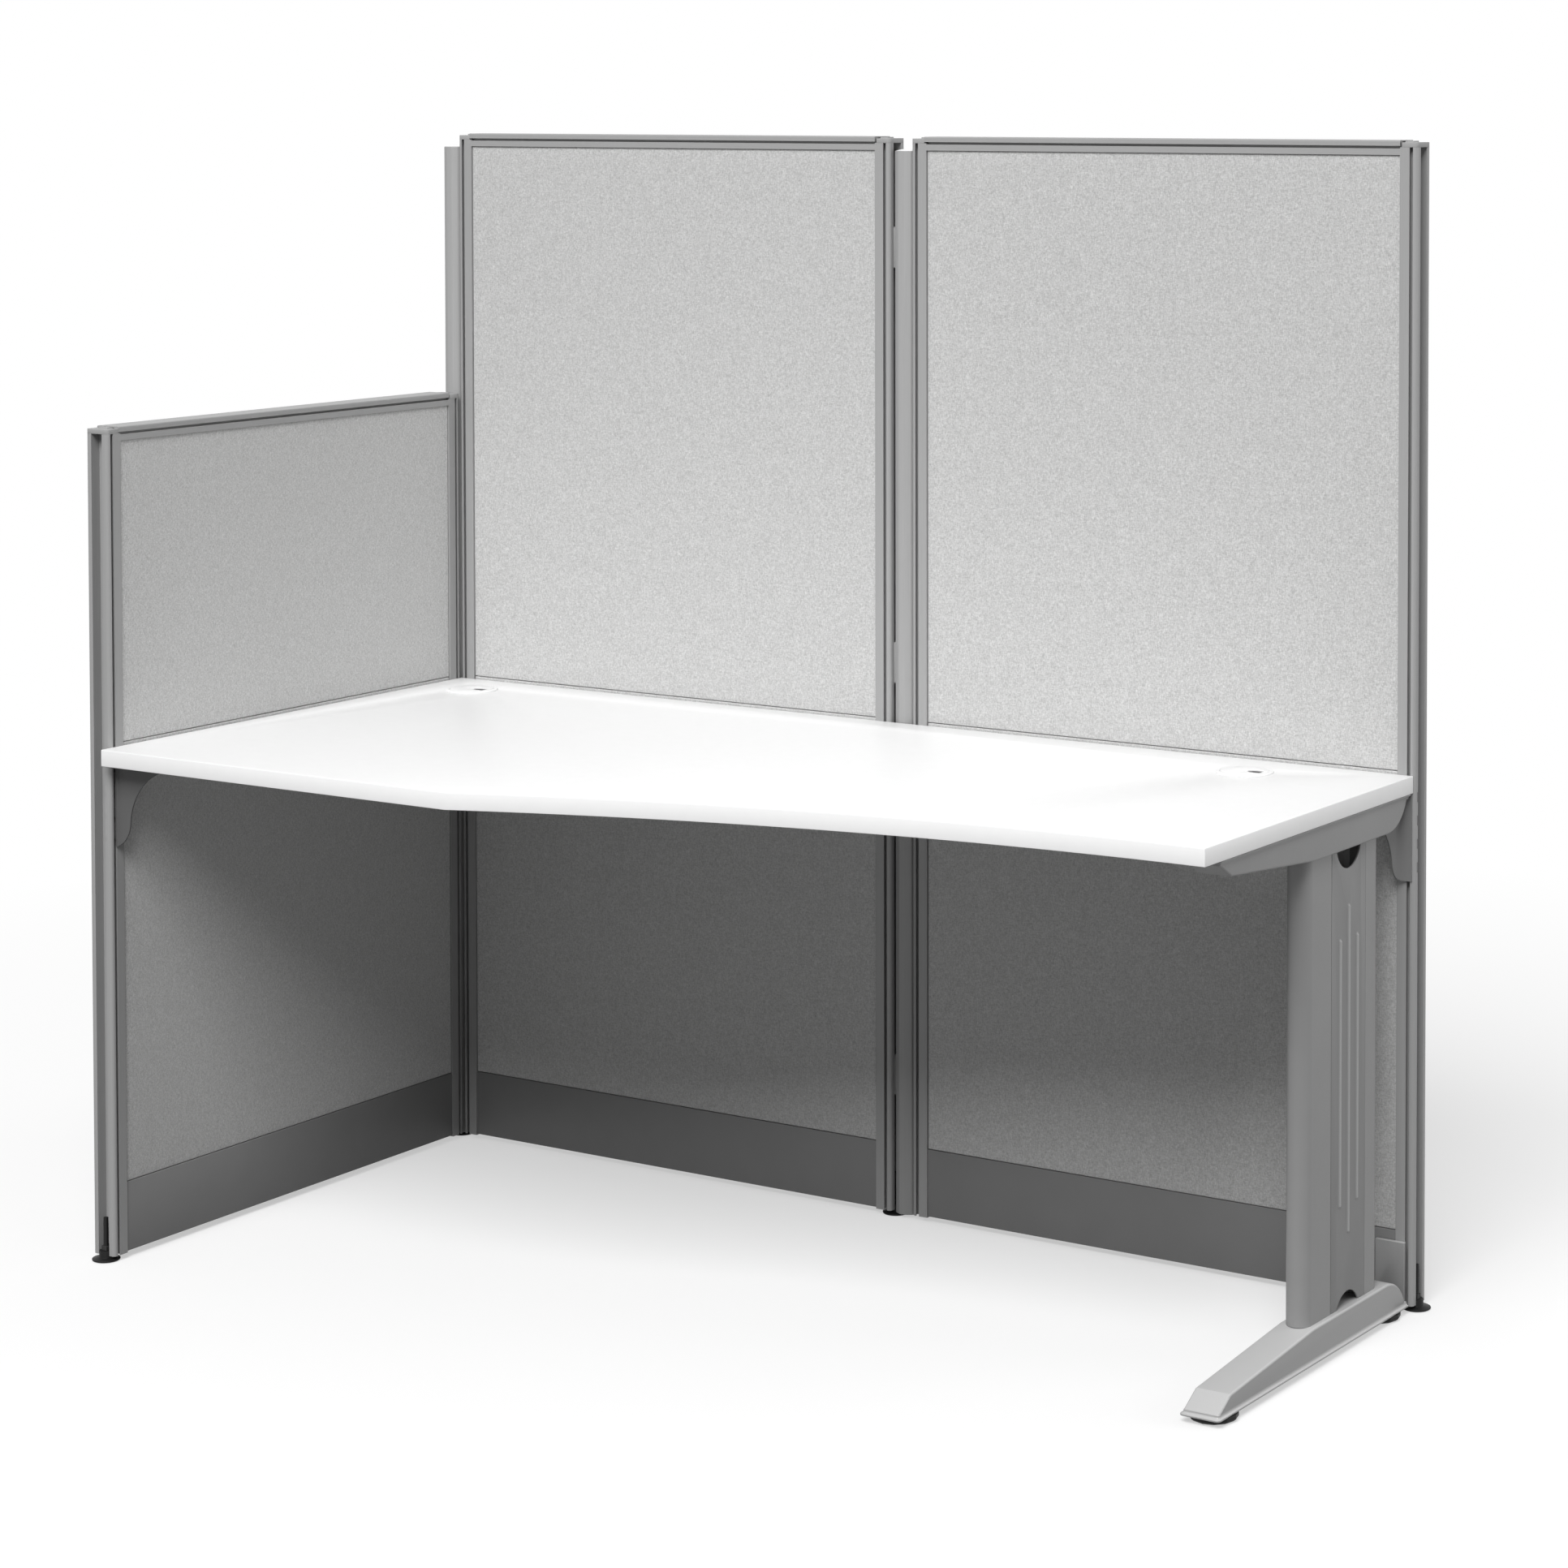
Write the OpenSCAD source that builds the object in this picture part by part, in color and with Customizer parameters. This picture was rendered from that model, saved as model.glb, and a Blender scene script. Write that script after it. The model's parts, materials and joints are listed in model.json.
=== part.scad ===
// Cubicle workstation: two tall panels and a low side panel around a swept worktop on a C-shaped leg.
// Millimetres, +Z up. The origin is on the floor under the middle of the outer box.
// Built in a shop frame first: X along the tall panels' front face, Y to the back, both from the inner corner.

/* [Panels] */
// Height of the tall panels
tall_h = 1600; // [1400:1:2000]
// Height of the low side panel
low_h = 1191.5; // [1000:0.5:1350]
// Length of each tall panel
tall_len = 815.6; // [760:0.1:1000]
// Length of the side panel
side_len = 769.5; // [700:0.1:900]
// Thickness of every panel
panel_t = 41.3; // [38:0.1:50]
// Height of the stiles' lower ends above the floor
panel_lift = 7.5; // [6:0.1:9]
// Height of the seam between lower and upper tiles
seam_z = 741.3; // [738:0.1:760]
// Gap at the seam
seam_gap = 1; // [0.5:0.1:3]

/* [Stile profile] */
// Width of a stile along its panel
stile_w = 26.2; // [25:0.1:30]
// Radius of the stile's outer corners
stile_r = 5.5; // [4:0.1:6]
// Skin of the extrusion
skin = 1.8; // [1.4:0.1:2]
// Mouth of the open end channel
channel_w = 20.5; // [20:0.1:21]
// Depth of the end channel
channel_d = 16; // [15:0.1:16.5]
// Width of the bracket slot in each face
slot_w = 5.1; // [4.8:0.1:5.4]
// Distance of the slot from the panel's end
slot_from_end = 6.7; // [6:0.1:7]
// Distance of the chamber behind the slot from the panel's end
chamber_from_end = 3.6; // [3:0.1:4]
// Depth of the slot with its chamber
slot_d = 8.6; // [8:0.1:8.8]
// Wall of the inner hollow beside the tiles
pocket_wall = 1.6; // [1.2:0.1:2]

/* [Top rail] */
// Height of rail and cap above the tiles
rail_h = 20; // [18:0.5:24]
// Height of the cap above the slit
cap_h = 7.6; // [7:0.1:9]
// Height of the slit
slit_h = 3.6; // [3:0.1:4]
// Depth of the slit
slit_d = 6; // [4:0.5:9]
// Wall of the rail's hollow chambers
rail_wall = 2; // [1.6:0.1:2.2]
// Radius of the cap's upper edges
cap_edge = 2; // [1:0.1:3]
// Distance of the cap from the first end
cap_from_a = 22.5; // [22:0.1:24]
// Distance of the cap from the second end
cap_from_b = 26.2; // [25:0.1:28]

/* [End blocks] */
// Height of an end block on the stile
block_h = 6.8; // [6:0.1:7.5]
// Drop of the block's shoulder below the cap
block_drop = 2.8; // [2:0.1:3]
// Gap between block and cap at the second end
block_gap = 3; // [2.5:0.1:3.5]
// Height of the raised plate on the block
plate_h = 2; // [1.5:0.1:2.5]
// Distance of the raised plate from the end
plate_from_end = 11; // [10:0.1:12]
// Width of the raised plate across the panel
plate_w = 20; // [16:0.5:24]
// Length of the slot hole in the raised plate
plate_hole_l = 8; // [6:0.5:9]
// Width of the slot hole
plate_hole_w = 3; // [2:0.1:3.5]
// Depth of the slot hole
plate_hole_d = 4; // [3:0.5:6]
// Length of the pegs that go down into the stile
peg_l = 14; // [10:1:30]
// Thickness of a peg
peg_t = 4; // [3:0.1:4.5]
// Distance of the pegs from the panel's faces
peg_inset = 5; // [4:0.5:7]

/* [Tiles and kick plates] */
// Thickness of a fabric tile
tile_t = 10; // [8:0.5:12]
// Depth of the tile's face behind the stile's face
tile_recess = 2; // [1:0.1:3]
// Chamfer along the tile's upright edges
tile_chamfer = 1.5; // [0.5:0.1:2.5]
// Gap between tile and stile
tile_gap = 0.6; // [0.3:0.1:1]
// Lower edge of the kick plates
kick_z0 = 9.3; // [8:0.1:12]
// Upper edge of the kick plates
kick_z1 = 109; // [90:0.5:130]
// Gap between kick plate and lower tile
kick_gap = 0.8; // [0.5:0.1:1.5]
// Depth of the kick plate's face behind the stile's face
kick_recess = 1.2; // [0.8:0.1:2]
// Sheet of the kick plates
kick_t = 1.5; // [1:0.1:2]
// Height of the core's lower edge
core_z0 = 12.3; // [11:0.1:14]

/* [Posts] */
// Size of a post across its flats, which is also the gap between the tall panels
post_w = 37.7; // [36:0.1:39]
// Radius of the post's bore
post_bore_r = 15.5; // [14:0.1:16]
// Lower end of the posts
post_z0 = 5; // [4.8:0.1:7]
// Drop of the post's upper end below the tall panels
post_drop = 21; // [15:0.5:40]
// Radius of the white plug on a post
plug_r = 18; // [17:0.1:18.5]
// Rise of the plug's dome
plug_rise = 3; // [2:0.1:5]
// Depth of the plug's spigot
plug_spigot = 14; // [8:1:25]
// Wall of the plug's spigot
plug_wall = 2.5; // [2:0.1:4]
// Clearance of a spigot in its bore
spigot_gap = 0.15; // [0.1:0.05:0.3]
// Clearance of the locking keys in the end channels
key_gap = 0.2; // [0.1:0.05:0.4]
// Reach of a key into the end channel
key_reach = 11; // [6:0.5:13]
// Height of a key
key_h = 60; // [30:5:90]
// Height of the lowest key
key_z0 = 180; // [120:10:240]

/* [Levelling feet] */
// Radius of a foot's flange
foot_r = 20; // [16:0.5:22]
// Height of the flange's rim
foot_rim = 2.5; // [2:0.1:3]
// Height of the flange at the collar
foot_crown = 4.4; // [4:0.1:4.6]
// Edge break under the flange
foot_edge = 1; // [0.5:0.1:1.5]
// Radius of the collar
collar_r = 9.8; // [9:0.1:9.9]
// Height of the collar's top
collar_z = 13.8; // [12:0.1:16]
// Radius of the stem
stem_r = 3.5; // [3:0.1:3.6]
// Height of the stem's top
stem_z = 45; // [40:1:60]
// Clearance of a stem in its bore
stem_gap = 0.05; // [0.03:0.01:0.09]
// Distance of a foot's centre from the panel's end
foot_from_end = 4.3; // [4.25:0.05:5]
// Gap between a foot and its stop at rest
rest_gap = 0.3; // [0.25:0.05:0.35]
// Width of the lug that holds the stem
lug_w = 9.4; // [9:0.1:10]
// Height of the lug
lug_h = 6; // [5:0.1:8]
// Distance of the lug from the panel's end
lug_from_end = 0.1; // [0.05:0.01:0.12]

/* [Worktop] */
// Height of the worktop
desk_z = 737; // [700:1:740]
// Thickness of the worktop
desk_t = 23.7; // [18:0.1:30]
// Distance of the worktop's end from the tall panels' end
desk_from_end = 2.2; // [1:0.1:8]
// Reach of the worktop past the side panel's end
desk_over = 17.5; // [5:0.5:40]
// Depth at the leg
desk_shallow = 587; // [560:1:640]
// Radius of the swept front edge
sweep_r = 2800; // [2200:10:4000]
// Radius of the grommets' holes
hole_r = 33; // [31:0.5:34]
// First grommet from the side panel
grommet_left_x = 95.4; // [70:0.1:160]
// Second grommet from the worktop's right end
grommet_from_end = 209.3; // [190:0.1:400]
// First grommet from the tall panels
grommet_left_y = 89; // [80:0.5:140]
// Second grommet from the tall panels
grommet_right_y = 94; // [80:0.5:140]

/* [Grommets] */
// Radius of the grommet's flange
flange_r = 40; // [37:0.5:42]
// Height of the flange above the worktop
flange_h = 2.6; // [2.4:0.1:3.2]
// Floor of the flange's recess
ledge_t = 0.8; // [0.6:0.1:1]
// Radius of the recess for the cap
recess_r = 34; // [33.8:0.1:35]
// Radius of the sleeve's bore
sleeve_bore_r = 29.6; // [28:0.1:30]
// Reach of the sleeve below the worktop
sleeve_below = 3; // [0.5:0.5:10]
// Clearance of the sleeve in the worktop
sleeve_gap = 0.1; // [0.05:0.05:0.3]
// Edge break of the flange
flange_edge = 1; // [0.5:0.1:1.2]
// Gap around the cap's disc
cap_gap = 0.4; // [0.3:0.1:0.6]
// Clearance of the cap's skirt in the sleeve
skirt_gap = 0.07; // [0.04:0.01:0.09]
// Wall of the cap's skirt
skirt_t = 2.4; // [2:0.1:3]
// Depth of the cap's skirt below the disc
skirt_d = 9; // [5:0.5:14]
// Width of the cap's cable mouth
mouth_w = 18; // [12:0.5:22]
// Inner end of the cable mouth from the cap's centre
mouth_from = 6; // [4:0.5:12]

/* [Brackets] */
// Sheet of the brackets
bracket_t = 2; // [1.6:0.1:2.3]
// Outer side of the gusset from the panel's end
gusset_from_end = 13.2; // [13:0.1:14]
// Height of a bracket
bracket_h = 121; // [110:1:160]
// Width of the gusset at its waist
waist = 31.5; // [28:0.5:36]
// Radius of the gusset's hollow edge
gusset_r = 78; // [70:1:80]
// Reach of the bracket under the worktop
bracket_reach = 92; // [84:1:100]
// Width of the flange under the worktop
top_flange_w = 24; // [18:1:30]
// Outer edge of the narrow flange on the stile from the panel's end
narrow_flange = 8.8; // [8:0.1:9]
// Outer edge of the wide flange on the stile from the panel's end
wide_flange = 3.4; // [3:0.1:6]
// Radius of the screw holes in the top flange
screw_r = 2.6; // [2:0.1:3]
// Number of hooks on a bracket
hook_count = 4; // [3:1:4]
// Height of the lowest hook above the bracket's lower end
hook_from_foot = 12; // [8:0.5:12]
// Height of a hook
hook_h = 12.9; // [10:0.1:12.9]
// Pitch of the hooks
hook_pitch = 32; // [28:1:32]
// Gap around a hook in its window
hook_gap = 0.4; // [0.3:0.1:0.6]
// Thickness of a hook's arm
hook_t = 2.3; // [2:0.1:2.4]
// Reach of a hook's tip past the wall of the end channel
hook_past = 1; // [0.6:0.1:1.4]

/* [Leg] */
// Centre line of the leg from the worktop's right end
leg_from_end = 29.7; // [29.5:0.1:120]
// Height of the casting's underside
leg_lift = 9; // [8:0.1:12]
// Width of the casting's base flange
base_w = 58; // [54:0.5:62]
// Thickness of the base flange
base_t = 3; // [2.5:0.1:5]
// Corner radius of the base flange
base_r = 6; // [4:0.5:10]
// Front end of the base flange from the tall panels
base_front = 546; // [530:1:560]
// Width of the casting's body
beam_w = 51; // [48:0.5:53]
// Rear end of the castings from the tall panels
beam_rear = 6.5; // [5:0.1:8]
// Front end of the casting's body
beam_front = 541; // [528:1:543]
// Height of the body's front face
nose_h = 7; // [5.5:0.1:10]
// Place of the ridge at the nose
ridge_y = 509; // [495:1:515]
// Height of the ridge
ridge_h = 25.5; // [22:0.5:30]
// Front end of the level stretch
level_y = 280; // [260:1:300]
// Height of the level stretch
level_h = 45.5; // [40:0.5:50]
// Rear end of the level stretch
fall_y = 66; // [62:1:68]
// Radius of the fall at the rear
fall_r = 60.5; // [58:0.5:64]
// Edge radius of the castings
beam_edge = 3; // [2:0.1:4]
// Fillet between flange and body
base_fillet = 3.4; // [2:0.1:3.4]
// Height of the upright plate at the foot's rear end
heel_z = 96; // [80:1:120]
// Width of a column
column_w = 35; // [32:0.5:40]
// Wall of a column
column_t = 2; // [1.6:0.1:3]
// Front of the front column from the tall panels
column_front = 291.5; // [285:0.5:300]
// Front edge of the cable space
cover_front = 219.7; // [215:0.1:225]
// Rear edge of the cable space
cover_rear = 119; // [112:0.5:125]
// Back of the rear column from the tall panels
column_rear = 75; // [70:0.5:80]

/* [Leg covers] */
// Wall of the covers
cover_t = 2.5; // [2:0.1:3]
// Groove between the outer cover and the front column
cover_groove = 1.4; // [1:0.1:2]
// Line between the outer cover and the rear column
cover_line = 0.4; // [0.3:0.1:0.6]
// Gap above and below the covers
cover_end_gap = 0.3; // [0.3:0.1:1]
// Depth of the inner cover's returns
inner_return = 12; // [8:0.5:16]
// Radius of the cable openings
arch_r = 36; // [30:0.5:40]
// Depth of the upper opening
arch_top = 28; // [22:0.5:30]
// Depth of the lower opening
arch_bottom = 19; // [15:0.5:25]
// Pitch of the ribs
rib_pitch = 25; // [22:0.5:28]
// Width of a rib
rib_w = 11; // [8:0.5:13]
// Rise of a rib
rib_rise = 2.5; // [1.5:0.1:3]
// Radius of a rib's hollow flanks
rib_flank_r = 5; // [4:0.1:5.5]
// Lower end of the middle rib
rib_mid_z0 = 149; // [130:1:170]
// Upper end of the middle rib
rib_mid_z1 = 594; // [570:1:600]
// Lower end of the outer ribs
rib_side_z0 = 188; // [175:1:200]
// Upper end of the outer ribs
rib_side_z1 = 551; // [530:1:565]

/* [Glides] */
// Radius of a glide
glide_r = 32.5; // [28:0.5:34]
// Radius of the glide's underside
glide_floor_r = 28; // [24:0.5:31]
// Height of the glide's chamfer
glide_chamfer = 3.5; // [2:0.1:5]
// Radius of the glide's stem
glide_stem_r = 5; // [4:0.1:6]
// Height of the glide's stem above the floor
glide_stem_z = 28; // [26:0.5:29]
// Room above the stem in its bore
glide_room = 2; // [1:0.5:3]
// Front glide from the tall panels
glide_front_y = 508; // [495:1:510]
// Rear glide from the tall panels
glide_rear_y = 45; // [42:1:60]

/* [Hidden] */
$fn = 64;

alloy = [0.66, 0.66, 0.66];
cloth = [0.76, 0.76, 0.75];
kick_grey = [0.40, 0.40, 0.40];
core_black = [0.10, 0.10, 0.10];
foot_black = [0.08, 0.08, 0.08];
casting_grey = [0.72, 0.72, 0.72];
leg_grey = [0.55, 0.55, 0.55];
desk_white = [0.97, 0.97, 0.97];

// Overrun of a cut past the face it opens.
over = 1;
// Share of the key's pitch in the length left above the lowest key.
key_pitch_share = 0.46;
// Number of keys on a post's side.
key_count = 3;
// Number of flats round a post.
post_sides = 12;

panel_mid = panel_t / 2;
channel_y0 = (panel_t - channel_w) / 2;
channel_y1 = channel_y0 + channel_w;
tile_face = tile_recess + tile_t;
core_t = panel_t - 2 * tile_face;
stile_drop = block_drop + block_h;
lug_z0 = collar_z + rest_gap;
stem_bore_r = stem_r + stem_gap;
right_x = tall_len + post_w;
panels_end = right_x + tall_len;
foot_right_x = panels_end - foot_from_end;
desk_len = panels_end - desk_from_end;
desk_deep = side_len + desk_over;
desk_under = desk_z - desk_t;
grommet_right_x = desk_len - grommet_from_end;
leg_x = desk_len - leg_from_end;
beam_under = desk_under - level_h;
column_z0 = leg_lift + level_h;
column_h = beam_under - column_z0;
cover_mid = (cover_front + cover_rear) / 2;

box_x0 = -panel_t;
box_x1 = foot_right_x + foot_r;
box_y0 = -desk_deep;
box_y1 = panel_t;
origin_x = (box_x0 + box_x1) / 2;
origin_y = (box_y0 + box_y1) / 2;

// Moves the shop frame's origin to the middle of the outer box.
module place() {
    translate([-origin_x, -origin_y, 0]) children();
}

// The three panels share one frame: X along the panel, its front face at Y 0, the first end at X 0.
module at_side() {
    place() translate([0, -side_len, 0]) rotate([0, 0, 90]) children();
}

module at_left() {
    place() children();
}

module at_right() {
    place() translate([right_x, 0, 0]) children();
}

module far_end(len) {
    translate([len, 0, 0]) mirror([1, 0, 0]) children();
}

module back_face() {
    translate([0, panel_t, 0]) mirror([0, 1, 0]) children();
}

// A side profile drawn in (Y, Z), extruded along X and centred on the leg's line.
module across_leg(width) {
    translate([leg_x - width / 2, 0, 0]) rotate([90, 0, 90]) linear_extrude(width) children();
}

// Rectangle with round corners at the end that lies on X 0.
module end_outline(w, t, r) {
    union() {
        translate([r, 0]) square([w - r, t]);
        translate([0, r]) square([w, t - 2 * r]);
        translate([r, r]) circle(r);
        translate([r, t - r]) circle(r);
    }
}

// Section of a stile: end channel, slotted chambers on both faces and the closed hollow beside the tiles.
module stile_section() {
    chamber_w = channel_d - pocket_wall / 2 - chamber_from_end;
    difference() {
        end_outline(stile_w, panel_t, stile_r);
        translate([-over, channel_y0]) square([channel_d + over, channel_w]);
        for (y = [0, panel_t - skin]) {
            translate([slot_from_end, y - over]) square([slot_w, skin + 2 * over]);
        }
        for (y = [skin, panel_t - slot_d]) {
            translate([chamber_from_end, y]) square([chamber_w, slot_d - skin]);
        }
        translate([channel_d + pocket_wall, skin])
            square([stile_w - channel_d - 2 * pocket_wall, panel_t - 2 * skin]);
    }
}

// Windows through the chamber's inner wall, where a bracket's hook tips reach the end channel.
module hook_windows() {
    for (z = hook_places()) {
        translate([-over, slot_d - over, z - hook_gap])
            cube([slot_from_end + over, channel_y0 - slot_d + 2 * over, hook_h + 2 * hook_gap]);
    }
}

function hook_places() = [for (i = [0:hook_count - 1]) desk_under - bracket_h + hook_from_foot + i * hook_pitch];

// Way for the lug of the core at the stile's lower end.
module lug_way() {
    translate([channel_d - over, panel_mid - lug_w / 2 - hook_gap, panel_lift - over])
        cube([stile_w - channel_d + 2 * over, lug_w + 2 * hook_gap, lug_z0 + lug_h - panel_lift + 2 * over]);
}

module stile(h, hooked = false, footed = false) {
    color(alloy) difference() {
        translate([0, 0, panel_lift]) linear_extrude(h - stile_drop - panel_lift) stile_section();
        if (hooked) hook_windows();
        if (footed) lug_way();
    }
}

// Rail between the stiles, with the cap that runs out over them. Its webs run up into the cap's floor.
module rail_body_section(h) {
    difference() {
        translate([0, h - rail_h]) square([panel_t, rail_h - cap_h + rail_wall / 2]);
        for (y = [-over, panel_t - slit_d]) {
            translate([y, h - cap_h - slit_h]) square([slit_d + over, slit_h + 2 * over]);
        }
        translate([slit_d + rail_wall, h - rail_h + rail_wall])
            square([panel_t - 2 * slit_d - 2 * rail_wall, rail_h - cap_h - rail_wall + 2 * over]);
    }
}

module rail_cap_section(h) {
    difference() {
        translate([0, h - cap_h]) union() {
            square([panel_t, cap_h - cap_edge]);
            translate([cap_edge, 0]) square([panel_t - 2 * cap_edge, cap_h]);
            for (y = [cap_edge, panel_t - cap_edge]) translate([y, cap_h - cap_edge]) circle(cap_edge);
        }
        translate([slit_d + rail_wall, h - cap_h + rail_wall])
            square([panel_t - 2 * slit_d - 2 * rail_wall, cap_h - 2 * rail_wall]);
    }
}

module top_rail(len, h) {
    color(alloy) union() {
        translate([stile_w, 0, 0]) rotate([90, 0, 90]) linear_extrude(len - 2 * stile_w) rail_body_section(h);
        translate([cap_from_a, 0, 0]) rotate([90, 0, 90]) linear_extrude(len - cap_from_a - cap_from_b)
            rail_cap_section(h);
    }
}

// Block that closes a stile, with its raised plate, slot hole and two pegs in the stile's hollow.
module end_block(h, reach) {
    peg_x = channel_d + pocket_wall + hook_gap;
    block_z0 = h - stile_drop;
    block_z1 = block_z0 + block_h;
    color(alloy) difference() {
        union() {
            translate([0, 0, block_z0]) linear_extrude(block_h) end_outline(reach, panel_t, stile_r);
            translate([plate_from_end, panel_mid - plate_w / 2, block_z1 - over])
                cube([reach - plate_from_end, plate_w, plate_h + over]);
            for (y = [peg_inset, panel_t - peg_inset - peg_t]) {
                translate([peg_x, y, block_z0 - peg_l]) cube([peg_t, peg_t, peg_l + over]);
            }
        }
        translate([(plate_from_end + reach) / 2 - plate_hole_w / 2, panel_mid - plate_hole_l / 2,
            block_z1 + plate_h - plate_hole_d])
            cube([plate_hole_w, plate_hole_l, plate_hole_d + over]);
        translate([plate_from_end, panel_mid + plate_w / 2 - plate_hole_w, block_z1])
            cube([plate_hole_w, plate_hole_w, plate_h + over]);
    }
}

// Core board between the tiles. Its lug reaches through the stile and holds the stem of a foot.
module core(len, h, lug_a = false, lug_b = false) {
    color(core_black) difference() {
        union() {
            translate([stile_w, tile_face, core_z0]) cube([len - 2 * stile_w, core_t, h - rail_h - core_z0]);
            if (lug_a) lug();
            if (lug_b) far_end(len) lug();
        }
        if (lug_a) lug_bore();
        if (lug_b) far_end(len) lug_bore();
    }
}

module lug() {
    translate([lug_from_end, panel_mid - lug_w / 2, lug_z0])
        cube([stile_w - lug_from_end + over, lug_w, lug_h]);
}

module lug_bore() {
    translate([foot_from_end, panel_mid, lug_z0 - over]) cylinder(r = stem_bore_r, h = lug_h + 2 * over);
}

// Fabric tile, with chamfered upright edges.
module tile(len, z0, z1) {
    x0 = stile_w + tile_gap;
    x1 = len - stile_w - tile_gap;
    color(cloth) translate([0, 0, z0]) linear_extrude(z1 - z0)
        polygon([[x0 + tile_chamfer, tile_recess], [x1 - tile_chamfer, tile_recess],
            [x1, tile_recess + tile_chamfer], [x1, tile_face],
            [x0, tile_face], [x0, tile_recess + tile_chamfer]]);
}

module tile_upper(len, h) {
    tile(len, seam_z + seam_gap / 2, h - rail_h);
}

module tile_lower(len) {
    tile(len, kick_z1 + kick_gap, seam_z - seam_gap / 2);
}

// Kick plate: a face with upper and lower returns that reach back to the core.
module kick(len) {
    return_h = core_z0 + kick_t - kick_z0;
    color(kick_grey) translate([stile_w, 0, 0]) rotate([90, 0, 90]) linear_extrude(len - 2 * stile_w)
        difference() {
            translate([kick_recess, kick_z0]) square([tile_face - kick_recess, kick_z1 - kick_z0]);
            translate([kick_recess + kick_t, kick_z0 + return_h])
                square([tile_face, kick_z1 - kick_z0 - 2 * return_h]);
        }
}

// Twelve-sided post with round bore. Keys on the given sides lock it in the panels' end channels.
module post(sides, keep_clear = false) {
    z1 = tall_h - post_drop;
    flat_r = post_w / 2;
    key_w = channel_w - 2 * key_gap;
    key_pitch = (z1 - key_z0) * key_pitch_share - key_h / 2;
    half_side = 180 / post_sides;
    color(alloy) difference() {
        union() {
            rotate([0, 0, half_side]) translate([0, 0, post_z0])
                cylinder(r = flat_r / cos(half_side), h = z1 - post_z0, $fn = post_sides);
            for (turn = sides, i = [0:key_count - 1]) {
                if (key_z0 + i * key_pitch + key_h < key_top(turn)) {
                    rotate([0, 0, turn]) translate([0, -key_w / 2, key_z0 + i * key_pitch])
                        cube([flat_r + key_reach, key_w, key_h]);
                }
            }
        }
        translate([0, 0, post_z0 - over]) cylinder(r = post_bore_r, h = z1 - post_z0 + 2 * over);
        if (keep_clear) {
            translate([-flat_r - foot_from_end, 0, 0]) cylinder(r = collar_r + rest_gap, h = collar_z + rest_gap);
        }
    }
}

// The corner post's front side, at a turn of 270 degrees, only meets the low panel.
function key_top(turn) = turn == 270 ? low_h - stile_drop : tall_h - post_drop;

module plug() {
    z1 = tall_h - post_drop;
    dome_r = (plug_r * plug_r + plug_rise * plug_rise) / (2 * plug_rise);
    color(desk_white) union() {
        intersection() {
            translate([0, 0, z1 + plug_rise - dome_r]) sphere(dome_r, $fn = 128);
            translate([0, 0, z1]) cylinder(r = plug_r, h = plug_rise + over);
        }
        difference() {
            translate([0, 0, z1 - plug_spigot]) cylinder(r = post_bore_r - spigot_gap, h = plug_spigot + over / 2);
            translate([0, 0, z1 - plug_spigot - over])
                cylinder(r = post_bore_r - spigot_gap - plug_wall, h = plug_spigot);
        }
    }
}

// Levelling foot: flange, collar and stem in one turned piece.
module foot() {
    color(foot_black) rotate_extrude()
        polygon([[0, 0], [foot_r - foot_edge, 0], [foot_r, foot_edge], [foot_r, foot_rim],
            [collar_r, foot_crown], [collar_r, collar_z], [stem_r, collar_z], [stem_r, stem_z], [0, stem_z]]);
}

module glide() {
    top = leg_lift - rest_gap;
    color(foot_black) rotate_extrude()
        polygon([[0, 0], [glide_floor_r, 0], [glide_r, glide_chamfer], [glide_r, top],
            [glide_stem_r, top], [glide_stem_r, glide_stem_z], [0, glide_stem_z]]);
}

// Outline of the worktop: straight to the side panel's depth, then one long sweep that ends level at the leg.
module desk_outline() {
    difference() {
        translate([0, -desk_deep]) square([desk_len, desk_deep]);
        translate([desk_len, -desk_shallow - sweep_r]) circle(sweep_r, $fn = 720);
    }
}

// Side view of the worktop's gusset, from the panel's face outwards.
module gusset_outline() {
    z0 = desk_under - bracket_h;
    difference() {
        union() {
            translate([0, z0 + waist]) square([bracket_reach, bracket_h - waist]);
            intersection() {
                translate([0, z0 + waist]) circle(waist);
                translate([0, z0]) square([waist, waist + over]);
            }
        }
        translate([waist + gusset_r, desk_under - gusset_r]) circle(gusset_r, $fn = 128);
        translate([waist, z0]) square([bracket_reach, bracket_h - gusset_r]);
    }
}

// Hook-in gusset on the first end of a panel. The flange on the stile carries four hooks.
module bracket(flange_from_end, top_flange = true) {
    z0 = desk_under - bracket_h;
    color(alloy) union() {
        translate([gusset_from_end, 0, 0]) rotate([90, 0, -90]) linear_extrude(bracket_t) gusset_outline();
        translate([flange_from_end, -bracket_t, z0])
            cube([gusset_from_end - flange_from_end, bracket_t, bracket_h]);
        for (z = hook_places()) hook(z);
        if (top_flange) {
            difference() {
                translate([gusset_from_end - bracket_t, -bracket_reach, desk_under - bracket_t])
                    cube([top_flange_w, bracket_reach, bracket_t]);
                for (i = [1, 3]) {
                    translate([gusset_from_end + top_flange_w / 2, -bracket_reach * i / 4, desk_under - bracket_t - over])
                        cylinder(r = screw_r, h = bracket_t + 2 * over);
                }
            }
        }
    }
}

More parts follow.
